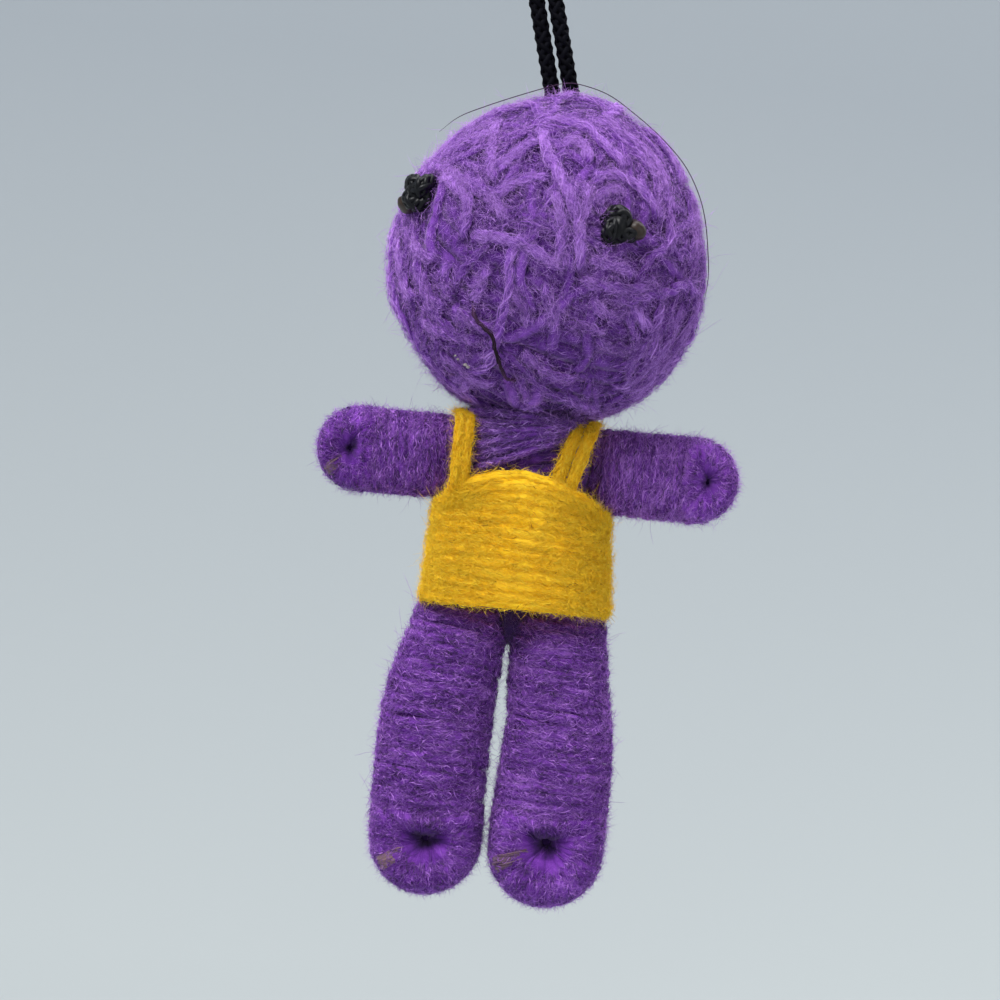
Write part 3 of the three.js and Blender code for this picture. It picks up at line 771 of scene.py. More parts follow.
# Strands that stand out on the face, as (x, z) places on the front of the ball
FACE_STRANDS = [
    [(-12.1, 8.1), (-9.7, 6.3), (-7.7, 5.1), (-5.7, 4.0), (-4.5, 2.8), (-3.9, 1.1)],
    [(-11.4, 7.0), (-9.3, 5.1), (-7.7, 3.7), (-7.6, 2.0), (-7.9, -0.7)],
    [(-5.7, 12.2), (-6.0, 10.0), (-5.9, 7.6), (-5.5, 5.0)],
    [(-5.5, 6.4), (-4.3, 7.6), (-3.0, 8.8), (-1.5, 10.2)],
    [(-11.5, 8.1), (-9.7, 9.1), (-7.2, 10.1), (-5.5, 11.0)],
    [(-10.1, 10.5), (-7.6, 12.4), (-4.5, 13.4), (-1.5, 13.8)],
    [(-5.4, 3.7), (-4.0, 5.1), (-2.4, 5.9), (0.1, 6.4)],
    [(-7.7, 0.3), (-6.0, 0.3), (-4.2, 0.3), (-1.9, -0.2), (0.5, -1.4), (2.7, -2.0)],
    [(-2.2, 11.9), (-1.5, 10.4), (-0.7, 8.3), (0.5, 6.3), (1.6, 4.4), (2.6, 2.0), (3.0, -0.8), (3.7, -3.1)],
    [(-0.1, 5.7), (0.6, 3.8), (1.1, 1.7), (1.2, -0.8), (1.8, -2.5)],
    [(-3.2, 11.3), (-1.3, 11.8), (0.6, 11.6), (2.8, 10.8), (4.6, 9.4), (5.8, 8.4), (6.9, 7.5)],
    [(1.3, 12.3), (3.6, 11.8), (5.6, 11.0), (7.6, 10.1), (9.2, 8.6), (10.4, 6.5), (11.0, 3.6), (11.0, 1.1),
     (10.4, -1.3)],
    [(5.5, 10.3), (7.9, 8.9), (9.4, 7.2), (9.8, 4.8), (10.3, 2.5)],
    [(3.2, 5.8), (4.0, 6.6), (5.3, 7.0), (6.8, 6.7), (8.4, 5.6), (9.7, 4.1), (10.6, 2.3)],
    [(2.8, 6.3), (3.1, 4.3), (2.8, 2.0)],
    [(0.4, 9.1), (1.4, 9.7), (2.6, 9.1), (3.0, 7.6)],
    [(4.1, 4.0), (4.5, 5.1), (5.5, 5.8), (6.8, 5.6)],
    [(-11.2, -2.8), (-10.7, -4.2), (-9.9, -5.4), (-8.5, -6.5)],
    [(-10.9, -7.1), (-10.0, -7.8), (-8.5, -8.4), (-6.7, -8.7), (-4.3, -8.8)],
    [(-8.1, -5.9), (-7.0, -6.8), (-5.7, -7.4), (-3.6, -7.9)],
    [(-3.1, -3.8), (-2.4, -4.8), (-1.4, -5.9), (-0.7, -8.1)],
    [(3.6, -0.7), (5.2, -1.1), (6.7, -1.3), (8.1, -2.0)],
    [(2.9, -2.4), (4.0, -2.9), (5.6, -3.1), (7.5, -3.1), (9.4, -2.4), (10.4, -1.1)],
    [(-0.1, -3.4), (0.5, -4.7), (1.1, -6.1), (1.1, -8.0)],
    [(4.1, -4.0), (5.0, -5.0), (6.1, -5.5), (7.1, -5.1), (7.7, -4.1)],
    [(13.8, -1.2), (13.6, -3.9), (12.6, -6.5), (11.0, -8.9), (9.1, -10.8), (6.8, -12.4)],
    [(12.7, -2.4), (12.0, -5.3), (10.7, -7.9), (8.6, -10.5), (6.0, -12.1)],
    [(11.0, -3.0), (10.0, -6.0), (8.9, -8.3), (6.9, -10.6)],
    [(2.0, -7.2), (3.1, -6.8), (4.5, -6.8), (6.3, -7.0)],
    [(4.9, -7.4), (6.2, -8.2), (7.9, -8.1), (9.3, -7.1)],
    [(-14.4, 0.6), (-13.5, -1.9), (-12.7, -4.2), (-11.4, -6.2)],
    [(-13.5, 1.4), (-12.5, -0.3), (-11.3, -1.5), (-9.7, -2.2)],
    [(-9.0, -2.1), (-8.9, -4.2), (-8.1, -5.4)],
    [(-5.2, -2.4), (-5.7, -4.2), (-6.3, -5.8)],
    [(-9.2, -9.8), (-7.2, -10.9), (-5.2, -11.9), (-2.9, -12.3)],
    [(-1.5, -9.2), (0.0, -10.3), (1.8, -11.0), (4.2, -11.1)],
    [(12.2, 7.9), (13.5, 5.5), (13.7, 2.8), (13.0, 0.2)],
    [(7.2, 12.7), (9.3, 11.2), (11.3, 9.2), (12.5, 7.0)],
]

HEAD_COATS = {
    "head_felt": [
        (lay_felt, "loops", 2.0, 0.95, 13000, (0.35, 1.0), 0.028, 0.5, 0.32, 0.9),
        (lay_felt, "under", 1.8, 0.8, 12000, (0.35, 1.0), 0.028, 0.5, 0.32, 0.8),
        (lay_felt, "loops", 2.0, 1.0, 4500, (0.5, 1.3), TUFT, 0.46, 0.36, 0.8),
        (lay_felt, "over", 1.2, 0.7, 1500, (0.5, 1.2), TUFT, 0.53, 0.28, 0.4),
    ],
    "head_loose_fibres": [
        (lay_fibres, "over", 1.3, 0.7, 3000, (0.6, 1.6), 0.018, 0.53, 0.18, 0.7),
        (lay_felt, "over", 1.25, 0.72, 18000, (0.3, 0.9), 0.027, 0.53, 0.28, 0.6),
    ],
    "head_face_fibres": [
        (lay_fibres, "face", 1.1, 0.62, 3000, (0.6, 1.5), 0.018, 0.55, 0.18, 0.7),
        (lay_felt, "face", 1.1, 0.66, 12000, (0.3, 0.8), 0.024, 0.56, 0.28, 0.6),
        (lay_felt, "face", 3.6, 0.7, 4000, (0.35, 1.0), 0.024, 0.5, 0.3, 1.0),
        (lay_felt, "face", 1.1, 0.64, 900, (0.5, 1.2), TUFT, 0.57, 0.26, 0.4),
    ],
    # Haze, down, fuzz and strays are tinted a little lighter than the felt: painted light, the glow of light
    # through fine standing fibres
    "head_haze": [
        (raise_fuzz, "loops", 2.2, 1.9, 8000, (0.6, 1.5), 0.011, 0.56, 0.14, 0.22),
        (raise_fuzz, "under", 3.0, 1.4, 6000, (0.6, 1.5), 0.011, 0.56, 0.14, 0.22),
        (raise_fuzz, "over", 1.8, 1.1, 7000, (0.6, 1.5), 0.011, 0.6, 0.14, 0.22),
    ],
    "head_face_down": [
        (raise_fuzz, "face", 1.4, 1.0, 4000, (0.5, 1.3), 0.011, 0.58, 0.14, 0.2),
        (raise_fuzz, "face", 4.0, 1.0, 8000, (0.5, 1.3), 0.011, 0.58, 0.14, 0.15),
    ],
    "head_fuzz": [
        (raise_fuzz, "loops", 2.2, 2.0, 15000, (0.3, 1.1), 0.016, 0.6, 0.12, 0.9),
        (raise_fuzz, "over", 1.8, 1.1, 12000, (0.3, 1.1), 0.016, 0.62, 0.12, 0.9),
        (raise_fuzz, "face", 1.5, 1.0, 4000, (0.3, 0.9), 0.012, 0.62, 0.12, 0.8),
    ],
    "head_stray_fibres": [
        (raise_fuzz, "under", 3.0, 1.2, 1000, (1.2, 2.6), 0.012, 0.6, 0.12, 0.4, STRAY_POINTS),
        (raise_fuzz, "over", 1.8, 1.0, 1200, (1.2, 2.8), 0.012, 0.62, 0.12, 0.4, STRAY_POINTS),
    ],
}


def ball_rays(limit, rows, sides):
    """Directions in level rings, up to a latitude in degrees."""
    latitude = np.radians(np.linspace(-limit, limit, rows))[:, None]
    turn = ring_angles(sides)
    return joined(np.cos(latitude) * np.cos(turn), np.cos(latitude) * np.sin(turn), np.sin(latitude))


def around(pole, across, tilt, turn):
    """Directions at a tilt from a pole, turned about it from the direction across."""
    return turned(pole, turned(across, np.cross(pole, across), turn), tilt)


def ball_arcs(rng, count, layers):
    """Strands laid over the ball every way, each of them part of a circle."""
    column = (count, 1)
    pole = unit(rng.standard_normal((count, 1, 3)))
    across = unit(np.cross(pole, rng.standard_normal((count, 1, 3))))
    t = np.linspace(0, 1, HEAD_STEPS)
    cone = np.radians(rng.uniform(*ARC_CONES, column))
    span = np.radians(rng.uniform(*ARC_SPANS, column))
    turn = rng.uniform(0, TAU, column) + span * t
    s = span * t * BALL_R
    ray = around(pole, across, cone + wander(rng, s, *ARC_WANDER), turn)
    layer = np.linspace(*layers, count)[:, None] - FRONT_SUNK * ease(-ray[..., 1], *FRONT_EASE)
    return ray * ball_radius(rng, layer, t, s)[..., None]


def ball_loops():
    """Side by side loops that cover the whole ball."""
    pole = unit(np.array(LOOP_POLE))
    across = unit(np.cross(pole, LOOP_BESIDE))
    turn = np.linspace(0, TAU, LOOP_STEPS)[None]
    latitude = np.radians(np.linspace(-LOOP_LIMIT, LOOP_LIMIT, BALL_LOOPS))[:, None]
    latitude = latitude + LOOP_SWAY * np.sin(turn + LOOP_SWAY_STEP * np.arange(BALL_LOOPS)[:, None])
    return BALL_LOOP_R * around(pole, across, math.pi / 2 - latitude, turn)


def ball_radius(rng, layer, t, s):
    """A strand's height along its length: it waves a little and dives in at both ends."""
    return layer + wander(rng, s, *LAYER_WANDER) - DIVE_DEEP * dive(t, DIVE_SHARE)


def outline_share(points):
    """How far the wound ball's size departs from round at each place."""
    turn = np.arctan2(points[..., 2], points[..., 0])
    total = 0 * turn
    for wave, (level, upright) in OUTLINE_WAVES.items():
        total = total + level * np.cos(wave * turn) + upright * np.sin(wave * turn)
    seen_edge_on = 1 - unit(points)[..., 1] ** 2
    return 1 + FULLNESS + total * seen_edge_on


def lopsided(points):
    return points * outline_share(points)[..., None]


# Painted shade and light by height over the ball
def head_shade(points):
    height = np.linalg.norm(points, axis=-1) / outline_share(points) - HOLLOW_R
    strength = mix(*HOLLOW_SHADE, smooth(0.5 + points[..., 2] / HEAD_R))
    return strength * np.clip(height / HOLLOW_RISE, -1, 1)


def on_face(x, z):
    return (x, -math.sqrt(HEAD_R**2 - x * x - z * z), z)


def face_ray(places, steps):
    """Directions along a strand through places on the front of the ball."""
    return unit(through_points([on_face(x, z) for x, z in places], steps))


def face_paths(rng):
    paths = []
    t = np.linspace(0, 1, HEAD_STEPS)
    for places in FACE_STRANDS:
        ray = face_ray(places, HEAD_STEPS)
        s = arc(HEAD_R * ray[None])
        layer = rng.uniform(*FACE_LAYERS) - CHIN_SUNK * ease(-ray[:, 2], *CHIN_EASE)
        paths.append(ray * ball_radius(rng, layer, t, s)[0][:, None])
    return np.array(paths)


def on_ball(path):
    """Strands on the lopsided ball, facing out from its centre."""
    path = lopsided(path)
    return path, unit(path)


def wind_plied(rng, strands, widths, tints, name, nodes=(), **yarn):
    """Plied strands over the ball, each of its own width and tint."""
    column = (len(strands[0]), 1)
    width = rng.uniform(*widths, column)
    tint = rng.normal(*tints, column)
    thick = PLIED_FLAT * width + STRAND_LEAST
    fleece = Fleece(head_shade)
    lay_plied(fleece, rng, strands, width, thick, fibres=5, twist=9, tint=tint, **yarn)
    fleece.build(name, purple_yarn, "head", nodes)


def make_head():
    rng = seeded("head")
    ball = Fleece(head_shade)
    ball.rings(lopsided(BALL_R * ball_rays(*BALL_RINGS))[None], BALL_SHADE_TINT)
    loops = on_ball(ball_loops())
    lay_yarn(
        ball, rng, loops, width=2.1, thick=0.75, fibres=5, twist=14, tint=0.5, spread=0.12, edge_tint=0.5)
    under = on_ball(ball_arcs(rng, UNDER_STRANDS, UNDER_LAYERS))
    width = rng.uniform(*UNDER_WIDTHS, (UNDER_STRANDS, 1))
    thick = UNDER_FLAT * width + STRAND_LEAST
    lay_yarn(ball, rng, under, width, thick, fibres=5, twist=14, tint=0.49, spread=0.13, edge_tint=0.36)
    ball.build("head_yarn_under", purple_yarn, "head", ["head_core"])
    over = on_ball(ball_arcs(rng, OVER_STRANDS, OVER_LAYERS))
    wind_plied(
        rng, over, OVER_WIDTHS, OVER_TINTS, "head_yarn_over", ["head_winding"], spread=0.14, edge_tint=0.26)
    face = on_ball(face_paths(rng))
    wind_plied(rng, face, FACE_WIDTHS, FACE_TINTS, "head_yarn_face", spread=0.16, edge_tint=0.24)
    strands = {"loops": loops, "under": under, "over": over, "face": face}
    build_coats(rng, strands, HEAD_COATS, purple_yarn, "head", head_shade)


# Face: two knots of cord with melted ends, a loose thread, a stray hair and specks of glue
HEAD_TURN = 16.5
EYE_SPREAD = 41.2
EYE_ELEVATION = 12.7
EYE_SLANT = 3.7
EYE_SUNK = 0.25
EYE_STEPS = 150
EYE_KNOT = (1.25, 1.25, 1.5)
EYE_BRAID = (0.78, 8, 3.0, 0.2)
EYE_CORE = (1.3, 1.3, 1.4)
EYE_CORE_SUNK = 0.2
EYE_CORE_TINT = 0.1
MELTED_REACH = {-1: 1.25, 1: 1.5}
MELTED_DROP = {-1: 1.1, 1: 0.2}
MELTED_SIZE = (1.05, 0.95, 0.95)
MELTED_PROUD = 0.25
MELTED_TINT = 0.62
LUMP_WAVES = (1.6, 3.1, 5.3)
LUMP_SWELL = 0.13
THREAD_PLACES = [
    (-6.2, -5.6), (-5.45, -6.65), (-4.6, -7.4), (-3.9, -8.05), (-3.5, -9.15), (-3.05, -10.1), (-2.5, -11.0),
    (-1.7, -11.85)]
THREAD_STEPS = 30
THREAD_D = 0.3
THREAD_PROUD = 0.25
THREAD_DIVE = 0.8
THREAD_DIVE_SHARE = 0.12
THREAD_TINT = 0.55
HAIR_STEPS = 60
HAIR_SIDES = 5
HAIR_R = 0.045
HAIR_R_OUT = 15.1
HAIR_FRONT = 2.4
HAIR_TAPER = 8
HAIR_TIP = 0.1
HAIR_TINT = 0.2
HAIR_PLACES = [
    (-10.65, 9.85), (-9.0, 11.35), (-6.75, 12.4), (-4.15, 13.55), (-1.55, 14.85), (0.3, 15.45), (1.95, 15.4),
    (4.3, 14.75), (6.65, 13.35), (9.2, 11.35), (11.6, 9.1), (13.1, 6.65), (13.95, 4.2), (14.5, 1.15),
    (14.75, -1.0), (14.6, -3.15),
]

# Specks as (x, z, size)
SPECK_PLACES = [(-6.95, -9.85, 0.12), (-6.7, -10.1, 0.14), (-6.0, -10.5, 0.2), (-5.75, -10.65, 0.18)]
SPECK_PROUD = 0.05
SPECK_FLAT = 0.8
SPECK_TINT = 0.6


def on_head(azimuth, elevation, radius):
    a = np.radians(azimuth)
    e = np.radians(elevation)
    return radius * np.array([np.cos(e) * np.sin(a), -np.cos(e) * np.cos(a), np.sin(e)])


def lumpy_ball(fleece, rng, centre, sizes, tint, axes=None):
    """A blob whose surface swells and dents smoothly."""
    ray = ball_rays(*LUMP_RINGS)
    swell = np.ones(ray.shape[:2])
    for wave in LUMP_WAVES:
        way = unit(rng.standard_normal(3))
        swell += LUMP_SWELL / wave * np.sin(wave * 2 * ray @ way + rng.uniform(0, TAU))
    blob = ray * swell[..., None] * np.array(sizes)
    if axes is not None:
        blob = blob @ axes
    fleece.rings((centre + blob)[None], tint)


def make_eye(side, name, node):
    rng = seeded("eye", side)
    azimuth = side * EYE_SPREAD - HEAD_TURN
    place = on_head(azimuth, EYE_ELEVATION - side * EYE_SLANT, HEAD_R - EYE_SUNK)
    right = on_head(azimuth + 90, 0, 1.0)
    out = unit(place)
    axes = np.stack([right, np.cross(out, -right), out])
    fleece = Fleece()
    turned = rng.uniform(0, TAU)
    c = math.cos(turned)
    s = math.sin(turned)
    spin = np.array([[c, s, 0], [-s, c, 0], [0, 0, 1]])
    path = place + trefoil(EYE_STEPS) * np.array(EYE_KNOT) @ spin @ axes
    lay_braid(fleece, facing(path[None], out), *EYE_BRAID)
    lumpy_ball(fleece, rng, place - EYE_CORE_SUNK * out, EYE_CORE, EYE_CORE_TINT, axes)
    fleece.build(name, knot_cord, "head", [node])
    tip = place + side * MELTED_REACH[side] * right
    tip[2] -= MELTED_DROP[side]
    melted = Fleece()
    lumpy_ball(melted, rng, tip + MELTED_PROUD * out, MELTED_SIZE, MELTED_TINT, axes)
    melted.build(name + "_melted_end", melted_cord, "head")


def make_thread(rng):
    t = np.linspace(0, 1, THREAD_STEPS)
    ray = face_ray(THREAD_PLACES, THREAD_STEPS)
    height = HEAD_R + THREAD_PROUD - THREAD_DIVE * dive(t, THREAD_DIVE_SHARE)
    strand = on_ball((ray * height[:, None])[None])
    tint = THREAD_TINT - THREAD_TINT * np.sin(math.pi * t)[None]
    thread = Fleece()
    lay_yarn(
        thread, rng, strand, THREAD_D, THREAD_D, fibres=5, twist=3, tint=tint, spread=0.1, edge_tint=0.15)
    thread.build("loose_face_thread", dark_thread, "head", ["face_thread"])


def make_hair():
    spots = []
    for x, z in HAIR_PLACES:
        spots.append((x, -math.sqrt(max(HAIR_R_OUT**2 - x * x - z * z, HAIR_FRONT**2)), z))
    path = through_points(spots, HAIR_STEPS)[None]
    _, up, side = frames(path, unit(path))
    along = np.linspace(0, HAIR_TAPER, HAIR_STEPS)
    radius = HAIR_R * np.sqrt(np.clip(np.minimum(along, along[::-1]), HAIR_TIP, 1))[None]
    hair = Fleece()
    hair.tubes(path, up, side, radius, radius, HAIR_SIDES, HAIR_TINT)
    hair.build("stray_hair", dark_thread, "head")


def make_specks(rng):
    specks = Fleece()
    for x, z, size in SPECK_PLACES:
        place = lopsided(np.array(on_face(x, z))) * (1 + SPECK_PROUD / HEAD_R)
        lumpy_ball(specks, rng, place, (size, size, SPECK_FLAT * size), SPECK_TINT)
    specks.build("glue_specks", glue_speck, "head")


def make_face():
    make_eye(-1, "eye_right", "eye_knot_right")
    make_eye(1, "eye_left", "eye_knot_left")
    rng = seeded("thread")
    make_thread(rng)
    make_hair()
    make_specks(rng)


# Torso: rows of yellow yarn round the trunk, with an arched top, over a purple chest
TRUNK_TURNS = 12
TRUNK_STEPS = 44
TRUNK_AROUND = 42
TRUNK_ENDS = 0.3
TRUNK_TOP = -23.5
TRUNK_HEM = -31.75
TRUNK_CREST = -19.65
TRUNK_TUCKED = 0.26
TRUNK_NEST = 0.25
TRUNK_ARCH_HALF = 8.3
TRUNK_ARCH_POWER = 1.7
TRUNK_ARCH_EASE_X = (-7.3, 1.0)
TRUNK_ARCH_EASE_Y = (2.4, 1.0)
TRUNK_HALF_X = (7.35, 8.15)
TRUNK_SHIFT = 0.2
TRUNK_YARN_WIDTH = (1.0, 1.5)
TRUNK_YARN_THICK = (0.85, 0.55)
TRUNK_SWELL = 0.14
TRUNK_TILT = 0.055
TRUNK_HALF_Y = 5.55
TRUNK_TOP_POWER = 3.6
TRUNK_POWER = 2.5
TRUNK_WANDER = (23, 0.1)
TRUNK_WANDER_UP = (31, 0.12)
TRUNK_TONE = 0.9
TRUNK_MOTTLE = (90, 0.07)
# Painted shade down the rows' sides, darker where they part: its middle, its wander and its limits
TRUNK_PARTING_SHADE = (0.56, (13, 0.3), (0.0, 0.66))
# The body under the rows is painted darker, as shade where it shows between them
TRUNK_CORE_SHADE_TINT = 0.3

# Levels of a body under the yarn, as (z, half x, half y)
TRUNK_LEVELS = [
    (-22.4, 5.0, 4.2), (-23.0, 6.5, 4.7), (-27.0, 6.95, 4.8), (-31.6, 7.6, 4.8), (-32.2, 6.8, 4.2)]
CHEST_LEVELS = [
    (-13.2, 2.4, 2.4), (-14.6, 3.6, 3.2), (-15.4, 4.4, 3.4), (-17.0, 4.6, 3.5), (-23.4, 4.6, 3.5)]
LEVEL_SIDES = 40

CHEST_HALF = (5.25, 4.35)
CHEST_IN = (0.2, 0.45)
CHEST_POWER = 3.2
# The chest's body is painted dark, as shade between its loops
CHEST_CORE_SHADE_TINT = 0.12
CHEST_LOOPS = 22
CHEST_STEPS = 57
CHEST_AROUND = 30
CHEST_Z = (-14.75, -22.3)
CHEST_NECK = 0.12
CHEST_NECK_SPEED = 5
CHEST_LEAN = (0.6, 2.6)
CHEST_LEAN_WAYS = [1, 1, 1, -1]
CHEST_LEAN_SPEED = 3
CHEST_STARTS = (0.3, 0.7)
CHEST_WANDER = (15, 0.1)
CHEST_WANDER_UP = (15, 0.15)
CHEST_STACK = 0.2
# The chest's loops are painted darker, as the shadow that the head casts on the chest
CHEST_SHADOW_TINTS = (0.26, 0.05)
PAD_X = 5.0
PAD_Z = -19.2
PAD_HALF = (0.9, 2.6, 3.4)
# The pads are painted dark, as shade where they show
PAD_SHADE_TINT = 0.1

# Strands that fan out over the chest from the doll's left shoulder: height at the left and at the right
CHEST_FAN = [(-15.1, -14.8), (-15.6, -20.4), (-15.0, -15.9), (-15.4, -19.1), (-15.1, -16.9), (-15.2, -18.0)]
FAN_STEPS = 30
FAN_LENGTH = 20
FAN_ANGLE = 1.25
FAN_PROUD = 0.35
FAN_STACK = 0.07
FAN_DIVE = 0.8
FAN_DIVE_SHARE = 0.12
FAN_TUCK = 0.6
FAN_TUCK_EASE = (0.3, 0.3)
FAN_WANDER = (9, 0.1)
FAN_TINTS = (0.56, 0.08)

# Yarn gathered between the legs: strands as (x, lowest z) from under the hem
CROTCH_STRANDS = [(-0.5, -35.0), (0.45, -34.8), (0.0, -35.3)]
CROTCH_STEPS = 20
CROTCH_HEM = -31.6
CROTCH_HALF_Y = 1.9
CROTCH_POWER = 0.6
CROTCH_MIDDLE = (0, 0, -32.0)
CROTCH_CORE = (0, 0, -33.0)
CROTCH_CORE_HALF = (1.7, 2.1, 2.3)
# Yarn between the legs is painted darkest, as the shadow up under the hem
CROTCH_SHADOW = -0.3

STRAP_TOP = -15.35
STRAP_FOOT = -22.9
STRAP_THICK = 1.1
STRAP_FLAT = 0.5
STRAP_ROUTE = [
    (-3.4, STRAP_FOOT), (-4.5, -21.7), (-5.0, -20.3), (-5.1, -18.4), (-5.0, -16.9), (-4.5, -16.1),
    (-3.4, -15.55), (-1.7, STRAP_TOP)]
STRAP_STEPS = 70
STRAP_FINE_STEPS = 240
STRAP_MIDDLE_Z = -19.0
STRAP_FLAT_Z = -15.6
STRAP_FLAT_EASE = (2.0, 2.5)
STRAP_WANDER = (12, 0.06)
STRAP_YARN = 0.58

TRUNK_FIBRES = [(lay_fibres, "rows", 0.9, 1.0, 2500, (0.5, 1.3), 0.017, 0.68, 0.07, 1.0)]
TRUNK_COATS = {
    "trunk_felt": [
        (lay_felt, "rows", 1.2, 0.62, 18000, (0.3, 0.9), 0.023, 0.94, 0.25, 0.75, 0.1),
        (lay_felt, "rows", 1.2, 0.64, 8000, (0.5, 1.4), FINE_TUFT, 0.92, 0.45, 0.4, 0.1),
    ],
    "trunk_fuzz": [
        (raise_fuzz, "rows", 1.2, 0.9, 6000, (0.5, 1.3), 0.011, 0.84, 0.12, 0.22),
        (raise_fuzz, "rows", 1.2, 0.9, 22000, (0.3, 1.0), 0.014, 0.92, 0.12, 0.9),
        (raise_fuzz, "rows", 1.1, 1.0, 400, (1.0, 2.2), 0.012, 0.72, 0.1, 0.4, STRAY_POINTS),
    ],
}
CHEST_COATS = [
    # The loops' coats are painted darker too, as the head's shadow on the chest
    (lay_felt, "loops", 1.0, 0.7, 4500, (0.35, 1.0), 0.026, 0.34, 0.26, 0.6),
    (lay_felt, "loops", 1.0, 0.74, 1600, (0.5, 1.3), TUFT, 0.36, 0.26, 0.5),
    (lay_felt, "fan", 0.8, 1.0, 3000, (0.35, 0.9), 0.026, 0.56, 0.27, 0.5, 0.3),
    (lay_felt, "fan", 0.8, 1.04, 1000, (0.5, 1.2), TUFT, 0.54, 0.27, 0.4, 0.3),
    (raise_fuzz, "loops", 1.2, 0.9, 2400, (0.5, 1.4), 0.011, 0.48, 0.12, 0.22),
    (raise_fuzz, "fan", 0.8, 1.1, 1500, (0.5, 1.3), 0.011, 0.58, 0.12, 0.3),
]
# Fuzz between the legs is painted dark, as shadow
CROTCH_COATS = [(raise_fuzz, "gathered", 2.4, 0.8, 900, (0.5, 1.6), 0.012, 0.1, 0.12, 0.4)]

# A strap's coats have the width as a share of the strap's, and leave out the thickness
STRAP_COATS = [
    (lay_felt, 0.48, 3000, (0.3, 0.9), 0.023, 0.78, 0.2, 0.6, 0.3),
    (lay_felt, 0.48, 1700, (0.5, 1.2), FINE_TUFT, 0.8, 0.2, 0.3, 0.36),
    (raise_fuzz, 0.5, 1500, (0.5, 1.3), 0.011, 0.68, 0.08, 0.25),
    (raise_fuzz, 0.5, 4200, (0.3, 0.9), 0.014, 0.8, 0.1, 0.9),
]


def rounded(angle, half_x, half_y, power):
    """A rounded-square outline from the front middle round to the doll's left, with its outward direction."""
    c = np.cos(angle)
    s = np.sin(angle)
    x = half_x * np.sign(s) * np.abs(s) ** (2 / power)
    y = -half_y * np.sign(c) * np.abs(c) ** (2 / power)
    nx = np.sign(x) * np.abs(x / half_x) ** (power - 1) / half_x
    ny = np.sign(y) * np.abs(y / half_y) ** (power - 1) / half_y
    return x, y, unit(joined(nx, ny, 0 * nx))


def stacked_body(fleece, levels, power, tint):
    """A closed body over level outlines."""
    angle = ring_angles(LEVEL_SIDES)
    rings = []
    for z, half_x, half_y in levels:
        x, y, _ = rounded(angle, half_x, half_y, power)
        rings.append(joined(x, y, z))
    fleece.rings(np.array(rings)[None], tint)


def trunk_inner(turn):
    """0 in the first and the last row, and 1 in those between."""
    return smooth(np.minimum(turn, TRUNK_TURNS + 1 - turn) - TRUNK_ENDS)


def trunk_path(rng, turn):
    share = np.minimum(turn / TRUNK_TURNS, 1)
    tucked = np.minimum(share / TRUNK_TUCKED, 1)
    s = (turn * TRUNK_AROUND)[None]
    swell = TRUNK_SWELL * trunk_inner(turn)
    half_x = mix(*TRUNK_HALF_X, share) + swell - TRUNK_NEST * (1 - tucked) + wander(rng, s, *TRUNK_WANDER)[0]
    half_y = TRUNK_HALF_Y + swell + wander(rng, s, *TRUNK_WANDER)[0]
    x, y, outward = rounded(TAU * (turn + 0.5), half_x, half_y, mix(TRUNK_TOP_POWER, TRUNK_POWER, tucked))
    arch = 1 - (np.abs(x) / TRUNK_ARCH_HALF) ** TRUNK_ARCH_POWER
    arch = arch * ease(np.abs(y), *TRUNK_ARCH_EASE_Y) * ease(-np.abs(x), *TRUNK_ARCH_EASE_X)
    side_z = mix(TRUNK_TOP, TRUNK_HEM, np.clip((share - TRUNK_TUCKED) / (1 - TRUNK_TUCKED), 0, 1))
    z = mix(side_z, mix(TRUNK_CREST, TRUNK_HEM, share), arch) + wander(rng, s, *TRUNK_WANDER_UP)[0]
    z = z - TRUNK_TILT * x * arch * (1 - share)
    return joined(x + TRUNK_SHIFT * share, y, z)[None], outward[None]


def make_trunk():
    rng = seeded("trunk")
    turns = TRUNK_TURNS + 1
    turn = np.linspace(0, turns, turns * TRUNK_STEPS + 1)
    rows = trunk_path(rng, turn)
    s = arc(rows[0])
    fleece = Fleece()
    stacked_body(fleece, TRUNK_LEVELS, TRUNK_POWER, TRUNK_CORE_SHADE_TINT)
    tone = TRUNK_TONE + wander(rng, s, *TRUNK_MOTTLE)
    inner = trunk_inner(turn)[None]
    width = mix(*TRUNK_YARN_WIDTH, inner)
    thick = mix(*TRUNK_YARN_THICK, inner)
    dark = parting_shade(rng, s, *TRUNK_PARTING_SHADE)
    lay_yarn(
        fleece, rng, rows, width, thick,
        fibres=6, twist=12, tint=tone, spread=0.08, edge_tint=dark, relief_shade=0.1)
    lay_coats(fleece, rng, {"rows": rows}, TRUNK_FIBRES)
    fleece.build("trunk_yarn", yellow_yarn, "torso", ["torso_winding"])
    build_coats(rng, {"rows": rows}, TRUNK_COATS, yellow_yarn, "torso")


def chest_loops(rng):
    """Loops round the chest, most of them leaning one way."""
    half_x, half_y = CHEST_HALF
    in_x, in_y = CHEST_IN
    column = (CHEST_LOOPS, 1)
    turn = np.linspace(0, 1, CHEST_STEPS)
    share = np.linspace(0, 1, CHEST_LOOPS)[:, None]
    grow = 1 - CHEST_NECK * (1 - smooth(share * CHEST_NECK_SPEED))
    lean = rng.choice(CHEST_LEAN_WAYS, column) * rng.uniform(*CHEST_LEAN, column)
    lean = lean * smooth(share * CHEST_LEAN_SPEED)
    start = rng.uniform(*CHEST_STARTS, column)
    s = turn[None] * CHEST_AROUND + 0 * share
    lift = wander(rng, s, *CHEST_WANDER) + CHEST_STACK * rng.permutation(CHEST_LOOPS)[:, None] / CHEST_LOOPS
    x, y, outward = rounded(
        TAU * (turn + start), half_x * grow - in_x, half_y * grow - in_y + lift, CHEST_POWER)
    z = mix(*CHEST_Z, share) + lean * x / half_x + wander(rng, s, *CHEST_WANDER_UP)
    return joined(x, y, z), outward


